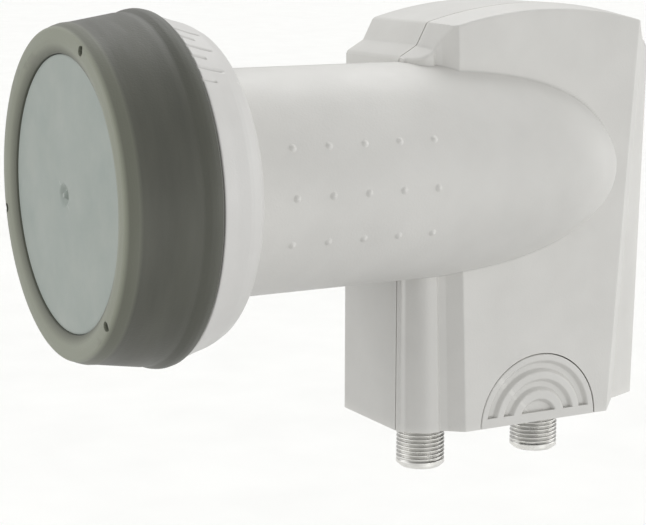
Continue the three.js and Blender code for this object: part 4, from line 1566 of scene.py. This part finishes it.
@dataclass
class Cap:
    """The feed's weather cap: a soft outer ring, a hard window and the window's melted stakes in the rim.

    Args:
        front: The rim's front along Y.
        rear: The ring's rear along Y.
        side_r: The radius of the ring's side.
        bore: The ring's bore.
        window_r: The window's radius.
        window_face: The window's front face along Y.
        flange_back: The back of the window's flange along Y.
        fit: The gap round the window.
        bead: How far the bead stands proud of the side.
        wall: From the bead to the bore.
        flange: Width and thickness of the window's flange, behind the rim.
        sunk: How far the window's face lies behind the rim's front.
        lip: The rim's corners inside the crest: outwards from its bore, behind the front, rounding.
        shoulder: The corners from the crest to the side: outwards from the side, behind the front, rounding.
        tail: The corners from the side over the bead: outwards from the side, before the rear, rounding.
        crown: How far the window's middle comes forwards, and its edge goes back.
        dimple: Depth of the dimple round the gate, and the radii between which it rises.
        nub: Height of the gate's nub, and the radii between which it falls.
        fine_r: The radius inside which the window's face has finer circles.
        holes: The angles of the holes in the rim.
        hole_r: Their radius.
        hole_at: How far from the axis they are.
        hole_depth: Their depth.
        stake: Radius, as a share of the hole's, and depth and height of a stake's dome.
    """

    front: float
    rear: float
    side_r: float
    bore: float
    window_r: float
    window_face: float
    flange_back: float
    fit: float = 0.14
    bead: float = 1.0
    wall: float = 3.5
    flange: tuple[float, float] = (2.4, 1.0)
    sunk: float = 1.1
    lip: tuple[tuple[float, float, float], ...] = ((1.3, 0.35, 0.7), (2.4, 0.0, 1.5))
    shoulder: tuple[tuple[float, float, float], ...] = (
        (-1.9, 0.1, 0.5),
        (-1.6, 0.95, 0.35),
        (-1.35, 1.5, 0.5),
        (-1.1, 2.3, 0.6),
        (-0.95, 3.9, 2.0),
    )
    tail: tuple[tuple[float, float, float], ...] = (
        (0.3, 4.6, 2.0),
        (0.3, 3.4, 0.8),
        (0.85, 2.3, 0.9),
        (1.0, 1.4, 1.0),
        (0.7, 0.0, 0.6),
    )
    crown: float = 0.15
    dimple: tuple[float, float, float] = (0.7, 0.9, 2.2)
    nub: tuple[float, float, float] = (0.85, 0.25, 0.95)
    fine_r: float = 2.6
    holes: tuple[float, ...] = (66.0, 192.0, -43.5)
    hole_r: float = 0.85
    hole_at: float = 26.95
    hole_depth: float = 1.5
    stake: tuple[float, float, float] = (0.6, 0.45, 0.45)

    @classmethod
    def from_frame(cls) -> "Cap":
        """Reads the cap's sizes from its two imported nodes."""
        ring_low, ring_high = node_box("cap_ring")
        window_high = node_box("cap_window")[1]
        return cls(
            front=ring_low[1],
            rear=ring_high[1],
            side_r=ring_high[0] - cls.bead,
            bore=ring_high[0] - cls.wall,
            window_r=window_high[0] - cls.flange[0],
            window_face=ring_low[1] + cls.sunk,
            flange_back=window_high[1],
        )

    def ring_profile(self) -> np.ndarray:
        """The ring's section: lip, flat rim, crest, bevel, flared side and bead.

        Returns:
            Radius and place along Y, one row each.
        """
        inner = self.window_r + self.fit
        back = self.flange_back - self.flange[1] - self.fit
        corners = [(inner, self.window_face - 0.1, 0.15)]
        corners += [(inner + out, self.front + behind, r) for out, behind, r in self.lip]
        corners += [(self.side_r + out, self.front + behind, r) for out, behind, r in self.shoulder]
        corners += [(self.side_r + out, self.rear - before, r) for out, before, r in self.tail]
        corners += [(self.bore, self.rear, 0.2), (self.bore, back, 0.2), (inner, back, 0.2)]
        return loop_points(corners, 1.0)

    def ring(self) -> bpy.types.Object:
        """Makes the outer ring and cuts the holes in its rim.

        Returns:
            The ring.
        """
        made = Surface.turned(self.ring_profile(), 240).build("cap_ring_moulding")
        cutters = []
        for angle in np.radians(self.holes):
            at = (self.hole_at * math.cos(angle), 0.0, self.hole_at * math.sin(angle))
            hole = rod("y", at, self.hole_r, self.front - OVERSHOOT, self.front + self.hole_depth, 32)
            cutters.append(hole.build("hole"))
        return combine(made, cutters, "DIFFERENCE")

    def stakes(self) -> bpy.types.Object:
        """Makes the stakes: low domes in the holes, each set a quarter of the hole's radius to one side.

        A dome's depth is its middle's plus its height times the square of the share of its radius.

        Returns:
            One object that holds every stake.
        """
        made = Surface(np.zeros((0, 3)), [])
        share = np.linspace(0.0, 1.0, 7)
        size, depth, height = self.stake
        radius = size * self.hole_r
        foot = self.front + self.hole_depth - 0.1
        profile = np.column_stack([radius * share, self.front + depth + height * share**2])
        profile = np.vstack([profile, [radius, foot], [0.0, foot]])
        for angle in np.radians(self.holes):
            stake = Surface.turned(profile, 20, closed=False)
            off = self.hole_at - 0.25 * self.hole_r
            stake.points = stake.points + np.array([off * math.cos(angle), 0.0, off * math.sin(angle)])
            made = made.plus(stake)
        return settle(made.build("cap_stakes"), 60.0)

    def window(self) -> bpy.types.Object:
        """Makes the window: a faint crown, a dimple round the gate and the gate's nub in its middle.

        With s the share of the radius, the crown is its height times (2 s^2 - 1). The dimple and the nub rise
        and fall as `smoothstep` does.

        Returns:
            The window, with its flange.
        """
        edge = 0.25  # the bevel round the face
        fine = np.linspace(0.0, self.fine_r, 40)
        r = np.concatenate([fine, np.linspace(self.fine_r, self.window_r - edge, 40)[1:]])
        crown = self.crown * (2.0 * (r / self.window_r) ** 2 - 1.0)
        depth, deepest, outermost = self.dimple
        dimple = depth * (1.0 - smoothstep(deepest, outermost, r))
        height, flat, foot = self.nub
        nub = height * (1.0 - smoothstep(flat, foot, r))
        face = np.column_stack([r, self.window_face + crown + dimple - nub])
        flange_r, flange_front = self.window_r + self.flange[0], self.flange_back - self.flange[1]
        rim = [(self.window_r, self.window_face + 2.0 * self.crown), (self.window_r, flange_front)]
        back = [(flange_r, flange_front), (flange_r, self.flange_back), (0.0, self.flange_back)]
        profile = np.vstack([face, rim, back])
        return settle(Surface.turned(profile, 200, closed=False).build("cap_window_moulding"), 40.0)

    def build(self, wardrobe: Wardrobe) -> None:
        """Makes the cap's pieces and dresses them.

        Args:
            wardrobe: Makes the materials and dresses the pieces.
        """
        # Thermoplastic elastomer over-moulding: matt dark grey-green, drier and paler where it has chalked.
        soft = ChalkedRim(
            name="tpe_moulded_chalked_rim",
            colour="#4f5047",
            shade="#45463e",
            clouds=Pattern(26.0, 3.0, (1.0, 5.0, 1.0)),
            grain=Pattern(0.35, 2.0),
            grain_depth=0.014,
            roughness=(0.56, 0.68),
            worn="#74756a",
            wear=0.3,
            crease_shade=0.15,
            ior=1.5,
            sheen=0.15,
            crest=self.front + 0.55,
            side=self.front + 2.7,
        )
        wardrobe.dress(self.ring(), soft, HOUSING_BODY, ["cap_ring"])
        wardrobe.dress(self.window(), WINDOW, HOUSING_BODY, ["cap_window"])
        wardrobe.dress(self.stakes(), WINDOW, HOUSING_BODY)


# ---- The outputs -------------------------------------------------------------------------------------------


@dataclass
class ThreadedBarrel:
    """One coaxial output's barrel, with its real helical thread.

    Args:
        node: The CAD node that it stands for.
        axis: Its middle line in X and Y.
        tip: Its lower end.
        top: The upper end of its shank.
        major: The thread's outer radius.
        bore: Its bore.
        pitch: The thread's pitch, 32 to the inch.
        depth: The thread's depth.
        shoulder: Where the thread ends, below the top.
        shank: The shank's radius.
        chamfer: Height and depth of the chamfer at the tip.
        slope: Where the thread's sides start and end, as shares of half a pitch.
        step: The height of one row of faces.
    """

    node: str
    axis: tuple[float, float]
    tip: float
    top: float
    major: float
    bore: float = 3.2
    pitch: float = 25.4 / 32.0
    depth: float = 0.34
    shoulder: float = 7.9
    shank: float = 4.1
    chamfer: tuple[float, float] = (0.6, 0.65)
    slope: tuple[float, float] = (0.1, 0.85)
    step: float = 0.1

    @classmethod
    def from_frame(cls, node: str) -> "ThreadedBarrel":
        """Reads a barrel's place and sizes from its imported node."""
        low, high = node_box(node)
        middle = 0.5 * (low + high)
        return cls(node, (middle[0], middle[1]), low[2], high[2], 0.5 * (high[1] - low[1]))

    def build(self, wardrobe: Wardrobe) -> None:
        """Makes the barrel and dresses it.

        The outside is turned with a radius that is cut by a wave of the height over the pitch less the turn,
        so that the groove climbs one pitch each turn. It fades out at the tip and at the shoulder.

        Args:
            wardrobe: Makes the materials and dresses the pieces.
        """
        end = self.top - self.shoulder
        height, depth = self.chamfer
        chamfer_z = [self.tip, self.tip + 0.25 * height, self.tip + height]
        chamfer_r = [self.major - depth, self.major - 0.77 * depth, self.major]
        rows = np.append(np.arange(self.tip + height + self.step, end, self.step), end)
        z = np.concatenate([chamfer_z, rows])
        r = np.concatenate([chamfer_r, np.full(len(rows), self.major)])
        z = np.concatenate([z, [end, self.top, self.top, self.tip]])
        r = np.concatenate([r, [self.shank, self.shank, self.bore, self.bore]])
        turn = np.linspace(0.0, 2.0 * np.pi, 64, endpoint=False)[None, :]
        phase = z[:, None] / self.pitch - turn / (2.0 * np.pi)
        wave = np.abs(2.0 * (phase - np.floor(phase)) - 1.0)
        cut = 1.0 - smoothstep(*self.slope, wave)
        run_in = smoothstep(self.tip + 0.9, self.tip + 2.0, z)  # the thread starts behind the chamfer
        fade = run_in * (1.0 - smoothstep(end - 0.6, end - 0.2, z))
        outside = np.where(r > self.shank, 1.0, 0.0) * fade
        radius = r[:, None] - self.depth * cut * outside[:, None]
        x = self.axis[0] + radius * np.cos(turn)
        y = self.axis[1] + radius * np.sin(turn)
        points = np.stack([x, y, z[:, None] + 0.0 * turn], axis=-1)
        made = Surface.grid(points, rows_join=True, columns_join=True).build(self.node + "_threaded")
        wardrobe.dress(settle(made, 50.0), NICKEL, HOUSING_BODY, [self.node])


def dress_cad_nodes(wardrobe: Wardrobe) -> None:
    """Gives each CAD node that still shows the finish of its record slot."""
    slots = {part["node"]: part["material_slot"] for part in frame["record"]["subparts"]}
    for name, node in frame["nodes"].items():
        finish = SLOT_FINISH.get(slots.get(name, ""))
        if finish is not None and not node.hide_render:
            node.data.materials.clear()
            node.data.materials.append(wardrobe.material(finish))
            log.info("%s: %s", name, finish.name)


# ---- The studio --------------------------------------------------------------------------------------------


@dataclass
class Studio:
    """A pale floor, soft light and the camera.

    Args:
        azimuth: The camera's bearing round the part, 0 being in front of the feed.
        elevation: Its height above the horizon.
        roll: Its tilt.
        place: Where it stands.
        lens: Its focal length on a 36 mm sensor.
        floor_z: The floor's height.
        floor_span: The floor's width, in metres.
        sky: The sky's strength as a light, from below and from above.
        horizon: How far above and below the horizon, as a sine, the sky changes.
    """

    azimuth: float = 61.16
    elevation: float = 10.43
    roll: float = 0.13
    place: tuple[float, float, float] = (288.4, -154.94, 44.92)
    lens: float = 103.1
    floor_z: float = -420.0
    floor_span: float = 60.0
    sky: tuple[float, float] = (0.44, 0.62)
    horizon: float = 0.6

    def camera(self) -> None:
        """Adds the camera and makes it the scene's own."""
        a, e, roll = (math.radians(v) for v in (self.azimuth, self.elevation, self.roll))
        back = Vector((math.sin(a) * math.cos(e), -math.cos(a) * math.cos(e), math.sin(e)))
        right = (-back).cross(Vector((0.0, 0.0, 1.0))).normalized()
        up = right.cross(-back)
        across = right * math.cos(roll) + up * math.sin(roll)
        upright = up * math.cos(roll) - right * math.sin(roll)
        data = bpy.data.cameras.new("camera")
        data.lens, data.sensor_width, data.clip_start = self.lens, 36.0, 0.01
        camera = bpy.data.objects.new("camera", data)
        turn = Matrix((across, upright, back)).transposed().to_4x4()
        camera.matrix_world = Matrix.Translation(Vector(self.place) * MM) @ turn
        bpy.context.scene.collection.objects.link(camera)
        bpy.context.scene.camera = camera

    def sun(self, name: str, direction: Sequence[float], strength: float, angle: float) -> None:
        """Adds one soft distant light.

        Args:
            name: Its name.
            direction: The way from the part to the light.
            strength: Its strength.
            angle: How wide the light is, in degrees.
        """
        data = bpy.data.lights.new(name, "SUN")
        data.energy, data.angle = strength, math.radians(angle)
        light = bpy.data.objects.new(name, data)
        light.rotation_mode = "QUATERNION"
        light.rotation_quaternion = Vector(direction).to_track_quat("Z", "Y")
        bpy.context.scene.collection.objects.link(light)

    def surroundings(self) -> None:
        """Makes the sky: white to the eye, and dimmer as a light, with more from above than from below."""
        world = bpy.data.worlds.new("studio")
        bpy.context.scene.world = world
        world.use_nodes = True
        tree = world.node_tree
        ray = add_node(tree, "ShaderNodeLightPath").outputs["Is Camera Ray"]
        way = add_node(tree, "ShaderNodeTexCoord").outputs["Generated"]
        height = add_node(tree, "ShaderNodeSeparateXYZ", {"Vector": way}).outputs["Z"]
        light = rescaled(tree, height, (-self.horizon, self.horizon), self.sky)
        seen = {"Value": ray, "To Min": light, "To Max": 1.0}
        strength = add_node(tree, "ShaderNodeMapRange", seen).outputs[0]
        background = tree.nodes["Background"]
        background.inputs["Color"].default_value = (1.0, 1.0, 1.0, 1.0)
        tree.links.new(strength, background.inputs["Strength"])

    def floor(self) -> None:
        """Makes the floor, a wide plain sheet with a faint unevenness, unseen by diffuse and shadow rays."""
        half = 0.5 * self.floor_span / MM
        edge = np.linspace(-half, half, 3)
        x, y = np.meshgrid(edge, edge)
        points = np.stack([x, y, np.full_like(x, self.floor_z)], axis=-1)
        made = Surface.grid(points).build("floor", inside=(0.0, 0.0, self.floor_z - 1000.0))
        paper = Finish(
            name="paper_backdrop_matt",
            colour="#fafaf8",
            shade="#f7f7f5",
            clouds=Pattern(90.0),
            grain=Pattern(2.0),
            grain_depth=0.02,
            roughness=(0.85, 0.95),
            worn="#fafaf8",
            wear=0.0,
            specular=0.1,
        )
        made.data.materials.append(paper.build())
        made.visible_diffuse = made.visible_shadow = False

    def build(self) -> None:
        """Sets up the camera, the light and the floor."""
        bpy.context.scene.view_settings.view_transform = "Standard"
        self.camera()
        self.surroundings()
        self.sun("overhead_light", (-0.45, 0.35, 0.8), 1.2, 40.0)
        self.sun("side_light", (0.86, 0.2, -0.25), 0.9, 50.0)
        self.sun("front_light", (-0.35, -0.9, 0.25), 1.0, 60.0)
        self.sun("rear_light", (0.3, 0.9, 0.1), 0.8, 40.0)
        self.floor()


def main() -> None:
    """Builds the studio and every sub-assembly in order."""
    logging.basicConfig(level=logging.INFO, format="%(name)s: %(message)s")
    Studio().build()
    wardrobe = Wardrobe()
    shape = Outline.from_frame()
    pad = ThumbPad(y=shape.front + PAD_MIDDLE, z=shape.bottom)
    Housing(shape, pad).build(wardrobe)
    Shield(shape, pad, top=node_box("weather_shield")[1][2]).build(wardrobe)
    low, high = node_box("scale_collar")
    ScaleCollar(low[1], high[1], high[0], shape.neck_r + NECK_CLEARANCE).build(wardrobe)
    Cap.from_frame().build(wardrobe)
    for number in (1, 2):
        ThreadedBarrel.from_frame(f"port_barrel_{number}").build(wardrobe)
    dress_cad_nodes(wardrobe)


if __name__ == "__main__":
    main()
